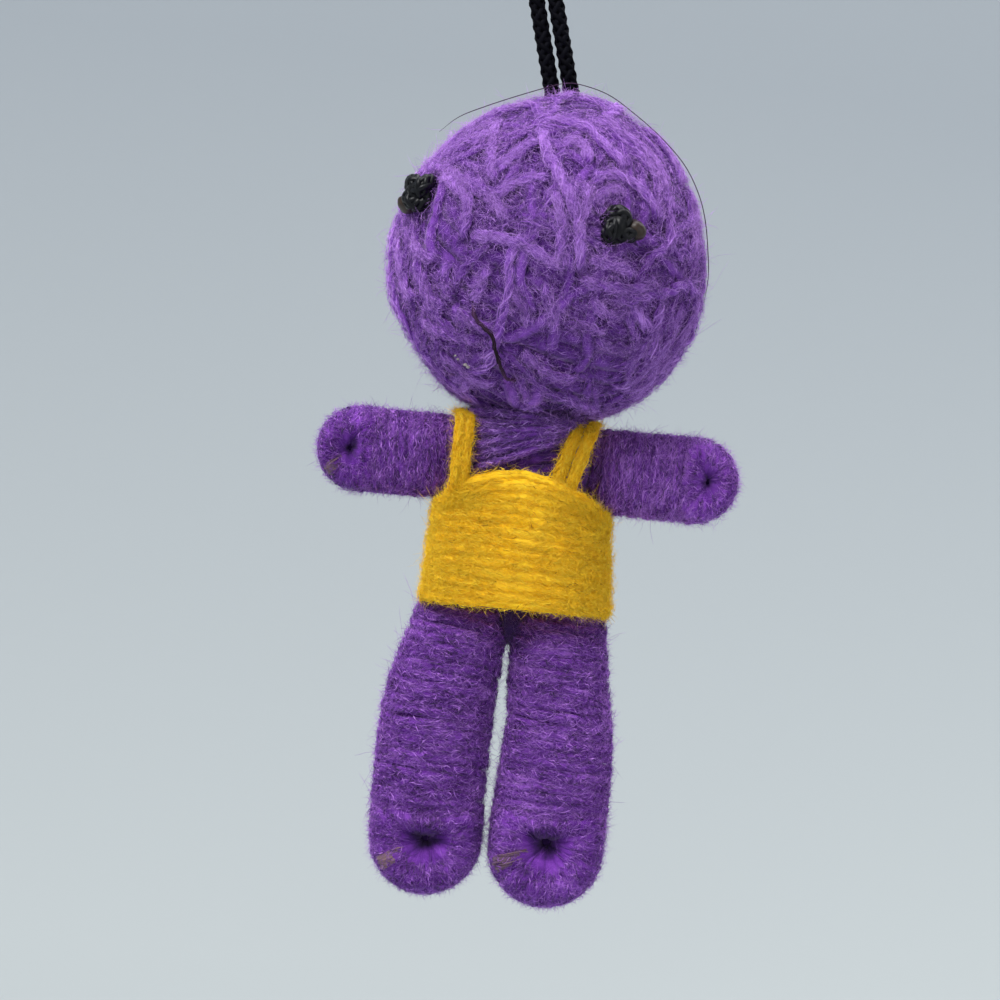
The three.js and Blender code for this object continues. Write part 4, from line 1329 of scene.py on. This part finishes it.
def chest_fan(rng):
    t = np.linspace(-1, 1, FAN_STEPS)
    s = (FAN_LENGTH / 2 * t)[None]
    sunk = FAN_DIVE * (1 - smooth((1 - np.abs(t)) / FAN_DIVE_SHARE)) + FAN_TUCK * ease(-t, *FAN_TUCK_EASE)
    paths = []
    outs = []
    for row, (left_z, right_z) in enumerate(CHEST_FAN):
        proud = FAN_PROUD + FAN_STACK * row - sunk
        x, y, out = rounded(-FAN_ANGLE * t, CHEST_HALF[0] + proud, CHEST_HALF[1] + proud, CHEST_POWER)
        z = mix(left_z, right_z, 0.5 - 0.5 * x / CHEST_HALF[0]) + wander(rng, s, *FAN_WANDER)[0]
        paths.append(joined(x, y, z))
        outs.append(out)
    return np.array(paths), np.array(outs)


def lay_crotch(fleece, rng):
    """Yarn gathered between the legs, up under the hem, painted dark as the shadow there."""
    lumpy_ball(fleece, rng, np.array(CROTCH_CORE), CROTCH_CORE_HALF, CROTCH_SHADOW)
    angle = np.linspace(-1, 1, CROTCH_STEPS) * math.pi / 2
    paths = []
    for x, lowest in CROTCH_STRANDS:
        z = mix(CROTCH_HEM, lowest, np.cos(angle) ** CROTCH_POWER)
        paths.append(joined(x, CROTCH_HALF_Y * np.sin(angle), z))
    path = np.array(paths)
    strands = (path, path - np.array(CROTCH_MIDDLE))
    lay_yarn(
        fleece, rng, strands, width=0.7, thick=0.6,
        fibres=5, twist=8, tint=CROTCH_SHADOW, spread=0.06, edge_tint=CROTCH_SHADOW)
    lay_coats(fleece, rng, {"gathered": strands}, CROTCH_COATS)


def make_chest():
    rng = seeded("chest")
    fleece = Fleece()
    stacked_body(fleece, CHEST_LEVELS, CHEST_POWER, CHEST_CORE_SHADE_TINT)
    loops = chest_loops(rng)
    tint = rng.normal(*CHEST_SHADOW_TINTS, (CHEST_LOOPS, 1))
    lay_yarn(
        fleece, rng, loops, width=1.0, thick=0.7, fibres=5, twist=12, tint=tint, spread=0.12, edge_tint=0.1)
    fan = chest_fan(rng)
    tint = rng.normal(*FAN_TINTS, (len(CHEST_FAN), 1))
    lay_yarn(
        fleece, rng, fan, width=0.85, thick=1.0, fibres=5, twist=14, tint=tint, spread=0.1, edge_tint=0.05)
    lay_coats(fleece, rng, {"loops": loops, "fan": fan}, CHEST_COATS)
    lay_crotch(fleece, rng)
    for side in (-1, 1):
        lumpy_ball(fleece, rng, np.array([side * PAD_X, 0, PAD_Z]), PAD_HALF, PAD_SHADE_TINT)
    fleece.build("chest_yarn", purple_yarn, "torso", ["torso_core"])


def make_strap(side, name, node, top_x, foot_x, width, gap):
    rng = seeded("strap", side)
    spots = [(0, y, z) for y, z in STRAP_ROUTE] + [(0, -y, z) for y, z in STRAP_ROUTE[::-1]]
    route = evenly(through_points(spots, STRAP_FINE_STEPS), STRAP_STEPS)
    fall = np.where(route[:, 1] < 0, (STRAP_TOP - route[:, 2]) / (STRAP_TOP - STRAP_FOOT), 0)
    paths = []
    for half in (-1, 1):
        x = side * mix(top_x, foot_x, fall) + half * (width / 4 + gap / 2)
        x = x + wander(rng, arc(route[None]), *STRAP_WANDER)[0]
        paths.append(joined(x, route[:, 1], route[:, 2]))
    path = np.array(paths)
    outward = path - np.array([0, 0, STRAP_MIDDLE_Z])
    outward[..., 0] = 0
    outward[..., 2] = np.where(path[..., 2] > STRAP_FLAT_Z, outward[..., 2] * 2, 0)
    strands = (path, outward)
    thick = mix(STRAP_FLAT, STRAP_THICK, ease(np.abs(path[..., 1]), *STRAP_FLAT_EASE))
    fleece = Fleece()
    lay_yarn(
        fleece, rng, strands, STRAP_YARN * width, thick,
        fibres=6, twist=14, tint=0.72, spread=0.06, edge_tint=0.24, relief_shade=0.12)
    for lay, share, *numbers in STRAP_COATS:
        lay(fleece, rng, strands, share * width, STRAP_THICK, *numbers)
    fleece.build(name, yellow_yarn, "torso", [node])


# Limbs: a wire loop wound across, with its end bound by yarn that passes through the eye of the loop
DIMPLE_R = 1.9
DIMPLE_DIP = 0.5
# Painted shade round the sunken eye of the loop: its radius, and how much darker arms and legs are there
DIMPLE_SHADE_R = 1.55
DIMPLE_SHADE = {"arm": 0.26, "leg": 0.42}
# Painted shadow up between the legs: its height, its size across and up, and how much darker it is
CROTCH_Z = -32.4
CROTCH_SIZE = (1.7, 2.6)
CROTCH_SHADE = 0.34
ROOT_LEAST = 0.2
LIMB_SKIN = {"arm": arm_yarn, "leg": leg_yarn}
LIMB_STEPS = 26
LIMB_IN = 0.36
LIMB_ROOT = 0.97
LIMB_END = 1.2
LIMB_LEAST = 0.3
LIMB_SLANT = 0.28
LIMB_SLANT_SHIFT = 1.2
LIMB_SLANT_RATES = (0.37, 0.8)
LIMB_WANDER = (19, 0.16)
LIMB_WANDER_OUT = (9, 0.1)
LIMB_PLAY = (0.2, 0.3)
LIMB_MOTTLE = (60, 0.11)
# Painted shade down the rows' sides, darker where they part
LIMB_PARTING_SHADE = {"arm": 0.26, "leg": 0.46}
LIMB_PARTING_WANDER = (11, 0.2)
LIMB_PARTING_LIMITS = (0.0, 0.6)
LIMB_ASKEW = {"arm": 0.35, "leg": 0.6}
LIMB_FIBRES = 230
LIMB_CORE_IN = 0.75
LIMB_CORE_SIDES = 28
LIMB_CORE_ROWS = 14
# The body under the winding is painted darker, as shade between the rows
LIMB_CORE_SHADE_TINT = 0.34
BOUND_SPOKES = 25
# The body under the bound end is painted dark, as shade between its loops
BOUND_SHADE_TINT = 0.2
# A ball in the eye of the loop, painted dark as the shade in the sunken eye
PLUG_OVER = 0.5
PLUG_DEEP = 0.35
PLUG_SHADE_TINT = 0.3
SPOKE_STEPS = 24
SPOKE_FINE_STEPS = 200
SPOKE_PROFILE = [
    (0.0, 0.0), (0.02, 0.2), (0.09, 0.44), (0.26, 0.74), (0.5, 0.95), (0.68, 1.0), (0.87, 0.86), (0.97, 0.5),
    (1.0, 0.0)]
SPOKE_BEHIND = 2.6
SPOKE_BEHIND_EASE = (1.95, 0.65)
SPOKE_BESIDE = 0.3
SPOKE_STRAY = 0.03
SPOKE_UNEVEN = 0.06
SPOKE_ROUND = 0.7
SPOKE_ROUND_LIMIT = 0.9
SPOKE_DARK = 0.04
TIPS = slice(5, -5)

# A limb's coats have their number as a share of the limb's own and their tint as a step from its tone, and
# where felt's slant is None, the limb's own is taken
LIMB_COATS = {
    "loose_fibres": [
        (lay_fibres, "rows", 0.8, 0.85, 0.25, (0.5, 1.4), 0.018, 0.08, 0.16, 1.0),
        (lay_felt, "rows", 0.9, 0.86, 2.2, (0.3, 0.9), 0.028, 0.08, 0.3, None),
        (lay_felt, "rows", 0.95, 0.9, 1.3, (0.5, 1.3), TUFT, 0.06, 0.38, None),
        (lay_fibres, "tips", 1.0, 0.72, 0.12, (0.5, 1.2), 0.018, 0.0, 0.14, 1.3),
        (lay_felt, "tips", 1.3, 0.7, 1.1, (0.3, 0.8), 0.027, 0.0, 0.28, 0.6, 0.1),
        (lay_felt, "tips", 1.3, 0.74, 0.6, (0.4, 1.0), TUFT, 0.0, 0.36, 0.5, 0.1),
    ],
    # The fuzz is a step lighter than the felt: painted light, the glow of light through fine standing fibres
    "fuzz": [
        (raise_fuzz, "rows", 1.2, 1.1, 1.0, (0.5, 1.3), 0.011, 0.14, 0.16, 0.22),
        (raise_fuzz, "rows", 1.2, 1.1, 2.9, (0.3, 1.1), 0.014, 0.22, 0.12, 0.9),
        (raise_fuzz, "rows", 1.2, 0.95, 0.07, (1.1, 2.4), 0.012, 0.14, 0.12, 0.4, STRAY_POINTS),
        (raise_fuzz, "tips", 1.6, 0.9, 0.5, (0.5, 1.2), 0.011, 0.14, 0.16, 0.22),
        (raise_fuzz, "tips", 1.6, 0.9, 1.4, (0.3, 1.1), 0.014, 0.22, 0.12, 0.9),
    ],
}

# Ends of yarn that glue has browned, at an angle round the eye from the limb's far end, with their tint
GLUED_ENDS = {"leg_right": (-57, 0.5), "leg_left": (-62, 0.2), "arm_right": (-53, 0.2)}
GLUED_APART = 5
GLUED_IN = 0.03
GLUED_PART = slice(4, 9)
# Glued ends are painted darker down their sides by this step, as shade
GLUED_SIDE_SHADE = 0.3

# Outlines in rows of distance from the pivot, place of the middle and half width
ARM_ROWS = [(-3.05, 8.95, 3.7), (6.5, 8.95, 3.75)]
RIGHT_LEG_ROWS = [
    (-3.8, 4.15, 4.1), (-1, 4.8, 4.4), (1.4, 5.25, 4.65), (4.2, 5.7, 4.9), (7, 5.9, 5.0), (12.4, 6.0, 5.0),
    (17.6, 5.85, 5.0)]
LEFT_LEG_ROWS = [
    (-3.8, 4.25, 4.15), (0.4, 4.65, 4.35), (3.2, 4.9, 4.5), (6, 5.25, 4.65), (8.6, 5.35, 4.9), (14, 5.2, 5.1),
    (17.6, 5.1, 5.1)]
ARM = {"kind": "arm", "pivot_z": -19.15, "depth": 6.1, "hole": 0.4, "pitch": 0.74, "spokes": 34}
LEG = {"kind": "leg", "pivot_z": -36.15, "depth": 7.9, "hole": 0.5, "pitch": 0.82, "spokes": 44}


class Limb:
    """A limb's measures, with places a along it from its pivot, across it and through it."""

    def __init__(self, side, reach, rows, eye, tone, kind, pivot_z, depth, hole, pitch, spokes):
        self.kind = kind
        self.side = side
        self.pivot_z = pivot_z
        self.deep = depth / 2
        self.rows = np.array(rows, float)
        self.tip = self.rows[-1, 2]
        self.bend = reach - self.tip
        self.eye = eye
        self.hole = hole
        self.pitch = pitch
        self.spokes = spokes
        self.tone = tone
        self.fibres = int(reach * LIMB_FIBRES)
        self.eye_spot = self.place(eye, 0.0, 0.0)

    def middle(self, a):
        return np.interp(a, self.rows[:, 0], self.rows[:, 1])

    def half(self, a):
        return np.interp(a, self.rows[:, 0], self.rows[:, 2])

    def thick(self, a):
        """Half the size through the limb, round about its pivot at the root."""
        return np.sqrt(np.maximum(self.deep**2 - np.minimum(a, 0) ** 2, ROOT_LEAST))

    def dip(self, a, across):
        """The share of the thickness that is left near the eye of the loop, where the yarn sinks in."""
        near = ((a - self.eye) ** 2 + across**2) / DIMPLE_R**2
        return 1 - DIMPLE_DIP * np.exp(-near)

    def shade(self, points):
        """Painted shade: fibres are darker towards the sunken eye of the loop, and up between the legs where
        shadow falls.
        """
        x, _, z = np.moveaxis(points, -1, 0)
        far = (x - self.eye_spot[0]) ** 2 + (z - self.eye_spot[2]) ** 2
        near = (x / CROTCH_SIZE[0]) ** 2 + ((z - CROTCH_Z) / CROTCH_SIZE[1]) ** 2
        return -DIMPLE_SHADE[self.kind] * np.exp(-far / DIMPLE_SHADE_R**2) - CROTCH_SHADE * np.exp(-near)

    def place(self, a, across, through):
        if self.kind == "arm":
            return joined(self.side * (self.middle(a) + a), through, self.pivot_z + across)
        return joined(self.side * self.middle(a) + across, through, self.pivot_z - a)

    def heading(self, a, across, through):
        if self.kind == "arm":
            return unit(joined(self.side * a, through, across))
        return unit(joined(across, through, -a))

    def coats(self, rows):
        """Rows of coats with this limb's own numbers, tints and slant."""
        for lay, over, width, thick, share, length, size, lighter, spread, slant, *rest in rows:
            slant = LIMB_ASKEW[self.kind] if slant is None else slant
            count = int(share * self.fibres)
            yield lay, over, width, thick, count, length, size, self.tone + lighter, spread, slant, *rest


def limb_wound(limb, rng, start, end):
    """The winding from the root to the eye of the loop."""
    turns = (end - start) / limb.pitch
    turn = np.linspace(0, turns, int(turns * LIMB_STEPS))
    s = (turn * TAU * 0.5 * (limb.tip + limb.deep))[None]
    angle = TAU * turn + rng.uniform(0, TAU)
    shift = LIMB_SLANT_SHIFT * np.sin(turn * LIMB_SLANT_RATES[0] + limb.side)
    slant = LIMB_SLANT * np.sin(angle + shift) * np.sin(turn * LIMB_SLANT_RATES[1])
    a = start + limb.pitch * turn + slant + wander(rng, s, *LIMB_WANDER)[0]
    a = np.clip(a, start - LIMB_PLAY[0], end + LIMB_PLAY[1])
    half = limb.half(a) - LIMB_IN + wander(rng, s, *LIMB_WANDER_OUT)[0]
    thick = limb.thick(a) - LIMB_IN + wander(rng, s, *LIMB_WANDER_OUT)[0]
    thick = np.maximum(thick, LIMB_LEAST)
    across = half * np.sin(angle)
    path = limb.place(a, across, -thick * np.cos(angle) * limb.dip(a, across))
    outward = limb.heading(0 * a, np.sin(angle) / half, -np.cos(angle) / thick)
    return path[None], outward[None]


def spoke_profile():
    """How far out and through a loop of yarn lies, from the eye over the front to the rim and back behind."""
    front = [(out, -rise, 0) for out, rise in SPOKE_PROFILE]
    back = [(out, rise, 0) for out, rise in SPOKE_PROFILE[-2::-1]]
    return evenly(through_points(front + back, SPOKE_FINE_STEPS), SPOKE_STEPS)[:, :2].T


def limb_spokes(limb, rng, theta, inset, rough):
    """Loops of yarn from the eye of the limb's wire loop out over its end, and back over the last turns."""
    column = (len(theta), 1)
    theta = (theta + rough * rng.normal(0, SPOKE_STRAY, len(theta)))[:, None]
    ahead = limb.eye - limb.bend
    rim = -ahead * np.cos(theta) + np.sqrt(limb.tip**2 - (ahead * np.sin(theta)) ** 2) - inset
    beside = limb.tip / np.maximum(np.abs(np.sin(theta)), SPOKE_BESIDE) - inset
    rim = np.where(np.abs(theta) > math.pi / 2, beside, np.minimum(rim, beside))
    rim = mix(rim, SPOKE_BEHIND, ease(np.abs(theta), *SPOKE_BEHIND_EASE))
    inner = limb.hole + rough * SPOKE_UNEVEN * rng.standard_normal(column)
    deep = limb.deep - inset + rough * SPOKE_UNEVEN * rng.standard_normal(column)
    out, through = spoke_profile()
    r = inner + (rim - inner) * out
    side = np.clip(SPOKE_ROUND * r * np.sin(theta) / limb.tip, -SPOKE_ROUND_LIMIT, SPOKE_ROUND_LIMIT)
    y = deep * through * np.sqrt(1 - side**2)
    path = limb.place(limb.eye + r * np.cos(theta), r * np.sin(theta), y)
    ahead_y = np.gradient(y, axis=1)
    return path, limb.heading(ahead_y * np.cos(theta), ahead_y * np.sin(theta), -np.gradient(r, axis=1))


def lay_limb_core(fleece, rng, limb, start, end):
    """A body under the yarn, and another under the loops that bind the end."""
    angle = ring_angles(LIMB_CORE_SIDES)
    a = np.linspace(start + LIMB_LEAST, end, LIMB_CORE_ROWS)[:, None]
    across = (limb.half(a) - LIMB_CORE_IN) * np.sin(angle)
    through = -np.maximum(limb.thick(a) - LIMB_CORE_IN, LIMB_LEAST) * np.cos(angle) * limb.dip(a, across)
    fleece.rings(limb.place(a, across, through)[None], LIMB_CORE_SHADE_TINT)
    bound, _ = limb_spokes(limb, rng, np.linspace(-math.pi, math.pi, BOUND_SPOKES), LIMB_CORE_IN, 0)
    fleece.rings(bound[None, :, :-1], BOUND_SHADE_TINT)


def make_limb(limb, name, nodes):
    rng = seeded(limb.kind, limb.side)
    skin = LIMB_SKIN[limb.kind]
    start = -LIMB_ROOT * limb.deep
    end = limb.eye - LIMB_END
    fleece = Fleece(limb.shade)
    lay_limb_core(fleece, rng, limb, start, end)
    rows = limb_wound(limb, rng, start, end)
    s = arc(rows[0])
    tone = limb.tone + wander(rng, s, *LIMB_MOTTLE)
    dark = parting_shade(rng, s, LIMB_PARTING_SHADE[limb.kind], LIMB_PARTING_WANDER, LIMB_PARTING_LIMITS)
    lay_yarn(
        fleece, rng, rows, width=1.15, thick=0.8, fibres=6, twist=12, tint=tone, spread=0.1, edge_tint=dark)
    plug = limb.hole + PLUG_OVER
    lumpy_ball(fleece, rng, limb.eye_spot, (plug, PLUG_DEEP * limb.deep, plug), PLUG_SHADE_TINT)
    theta = np.linspace(-math.pi, math.pi, limb.spokes, endpoint=False)
    ends = limb_spokes(limb, rng, theta, LIMB_IN, 1)
    tint = rng.normal(limb.tone - SPOKE_DARK, SPOKE_DARK, (limb.spokes, 1))
    lay_yarn(
        fleece, rng, ends, width=1.25, thick=0.66,
        fibres=4, twist=12, tint=tint, spread=0.06, edge_tint=0.3, relief_shade=0.08)
    fleece.build(name + "_yarn", skin, name, nodes)
    strands = {"rows": rows, "tips": [values[:, TIPS] for values in ends]}
    pieces = {f"{name}_{word}": limb.coats(coats) for word, coats in LIMB_COATS.items()}
    build_coats(rng, strands, pieces, skin, name, limb.shade)
    if name in GLUED_ENDS:
        lay_glued_end(limb, rng, name)


def lay_glued_end(limb, rng, name):
    angle, tint = GLUED_ENDS[name]
    theta = np.radians([angle - GLUED_APART, angle, angle + GLUED_APART])
    strands = [values[:, GLUED_PART] for values in limb_spokes(limb, rng, theta, GLUED_IN, 0)]
    fleece = Fleece()
    lay_yarn(
        fleece, rng, strands, width=0.6, thick=0.3,
        fibres=9, twist=6, tint=tint, spread=0.2, edge_tint=tint - GLUED_SIDE_SHADE)
    fleece.build(name + "_glued_end", glued_yarn, name)


def make_limbs():
    limbs = {
        "arm_right": Limb(-1, 9.95, ARM_ROWS, eye=7.1, tone=0.49, **ARM),
        # The left arm's tone is lighter than the right's to make up for the key lamp lighting it less: painted
        # light
        "arm_left": Limb(1, 10.25, ARM_ROWS, eye=7.6, tone=0.64, **ARM),
        "leg_right": Limb(-1, 22.6, RIGHT_LEG_ROWS, eye=17.6, tone=0.49, **LEG),
        "leg_left": Limb(1, 22.8, LEFT_LEG_ROWS, eye=16.9, tone=0.52, **LEG),
    }
    for name, limb in limbs.items():
        word = name.split("_")[1]
        make_limb(limb, name, [f"{limb.kind}_core_{word}", f"{limb.kind}_winding_{word}"])


# Wires inside, which keep their CAD shapes
def finish_wires():
    for name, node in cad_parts.items():
        if "wire" in name:
            node.data.materials.clear()
            node.data.materials.append(steel_wire)


# Stage: a pale sweep behind the doll, soft lamps and a pale surround
PALE = (0.52, 0.57, 0.60)
PALE_STOPS = [(0.15, (0.565, 0.617, 0.635)), (1.0, (0.40, 0.445, 0.49))]
PALE_HEIGHTS = {"From Min": -0.2, "From Max": 0.1}
CLOUD_SCALE = 2.2
CLOUD_DETAIL = 2
CLOUD_SHARE = 0.3
BACKDROP_GLOW = 0.6
SWEEP_FLOOR = -0.27
SWEEP_WALL = 0.95
SWEEP_FRONT = -3.0
SWEEP_BEND = 0.35
SWEEP_TOP = 1.6
SWEEP_HALF = 2.6
SWEEP_STEPS = 17


def camera_sees(tree):
    path = tree.nodes.new("ShaderNodeLightPath")
    seen = math_node(tree, "ADD", path.outputs["Is Camera Ray"], path.outputs["Is Glossy Ray"])
    seen = math_node(tree, "ADD", seen, path.outputs["Is Transmission Ray"])
    return math_node(tree, "MINIMUM", seen, 1.0)


def backdrop_material():
    material, tree, shader = new_material("backdrop")
    coords = add_node(tree, "TexCoord", "Object", {})
    cloud = noise(tree, coords, CLOUD_SCALE, CLOUD_DETAIL)
    z = add_node(tree, "SeparateXYZ", "Z", {"Vector": coords})
    height = add_node(tree, "MapRange", "Result", {"Value": z, **PALE_HEIGHTS})
    level = math_node(tree, "MULTIPLY_ADD", cloud, CLOUD_SHARE, height)
    colour = ramp_node(tree, level, PALE_STOPS)
    set_inputs(tree, shader, {"Base Color": colour, "Roughness": 0.9, "Specular IOR Level": 0.1})
    glow = add_node(tree, "Emission", "Emission", {"Color": colour})
    share = math_node(tree, "MULTIPLY", camera_sees(tree), BACKDROP_GLOW)
    mix_shaders(tree, share, shader.outputs["BSDF"], glow, "Material Output")
    return material


def make_sweep():
    bend = np.radians(np.linspace(0, 90, SWEEP_STEPS))
    y = np.concatenate([[SWEEP_FRONT], SWEEP_WALL - SWEEP_BEND + SWEEP_BEND * np.sin(bend), [SWEEP_WALL]])
    z = np.concatenate([[SWEEP_FLOOR], SWEEP_FLOOR + SWEEP_BEND * (1 - np.cos(bend)), [SWEEP_TOP]])
    verts = [(x, b, c) for b, c in zip(y, z) for x in (-SWEEP_HALF, SWEEP_HALF)]
    faces = [(2 * i, 2 * i + 1, 2 * i + 3, 2 * i + 2) for i in range(len(y) - 1)]
    mesh = bpy.data.meshes.new("backdrop")
    mesh.from_pydata(verts, [], faces)
    mesh.shade_smooth()
    mesh.materials.append(backdrop_material())
    sweep = new_object("backdrop", mesh)


LAMP_TARGET = Vector((0, 0, -0.065))

# Lamps as their name, place, size and watts
LAMPS = [
    ("key_lamp", (-0.36, -0.42, 0.56), 0.45, 8.5),
    ("fill_lamp", (0.55, -0.5, 0.02), 0.6, 1.0),
    ("top_lamp", (0.05, 0.12, 0.62), 0.5, 3.0),
    ("back_lamp", (0.4, 0.62, 0.42), 0.6, 3.0),
]
AMBIENT = 0.42


def make_lamp(name, place, size, watts):
    data = bpy.data.lights.new(name, "AREA")
    data.energy = watts
    data.size = size
    lamp = new_object(name, data)
    lamp.location = place
    lamp.rotation_mode = "QUATERNION"
    lamp.rotation_quaternion = (LAMP_TARGET - Vector(place)).to_track_quat("-Z", "Y")


def make_world():
    world = bpy.data.worlds.new("surround")
    bpy.context.scene.world = world
    world.use_nodes = True
    tree = world.node_tree
    ambient = tree.nodes["Background"]
    set_inputs(tree, ambient, {"Color": (1, 1, 1, 1), "Strength": AMBIENT})
    shown = add_node(tree, "Background", "Background", {"Color": (*PALE, 1)})
    mix_shaders(tree, camera_sees(tree), ambient.outputs["Background"], shown, "World Output")


bpy.context.scene.view_settings.view_transform = "Standard"
make_camera()
make_cord()
make_cord_knot()
make_head()
make_face()
make_trunk()
make_chest()
make_strap(-1, "shoulder_strap_right", "strap_right", top_x=5.85, foot_x=5.85, width=1.9, gap=-0.2)
make_strap(1, "shoulder_strap_left", "strap_left", top_x=5.05, foot_x=2.85, width=2.3, gap=0.2)
make_limbs()
finish_wires()
make_sweep()
make_world()
for lamp in LAMPS:
    make_lamp(*lamp)
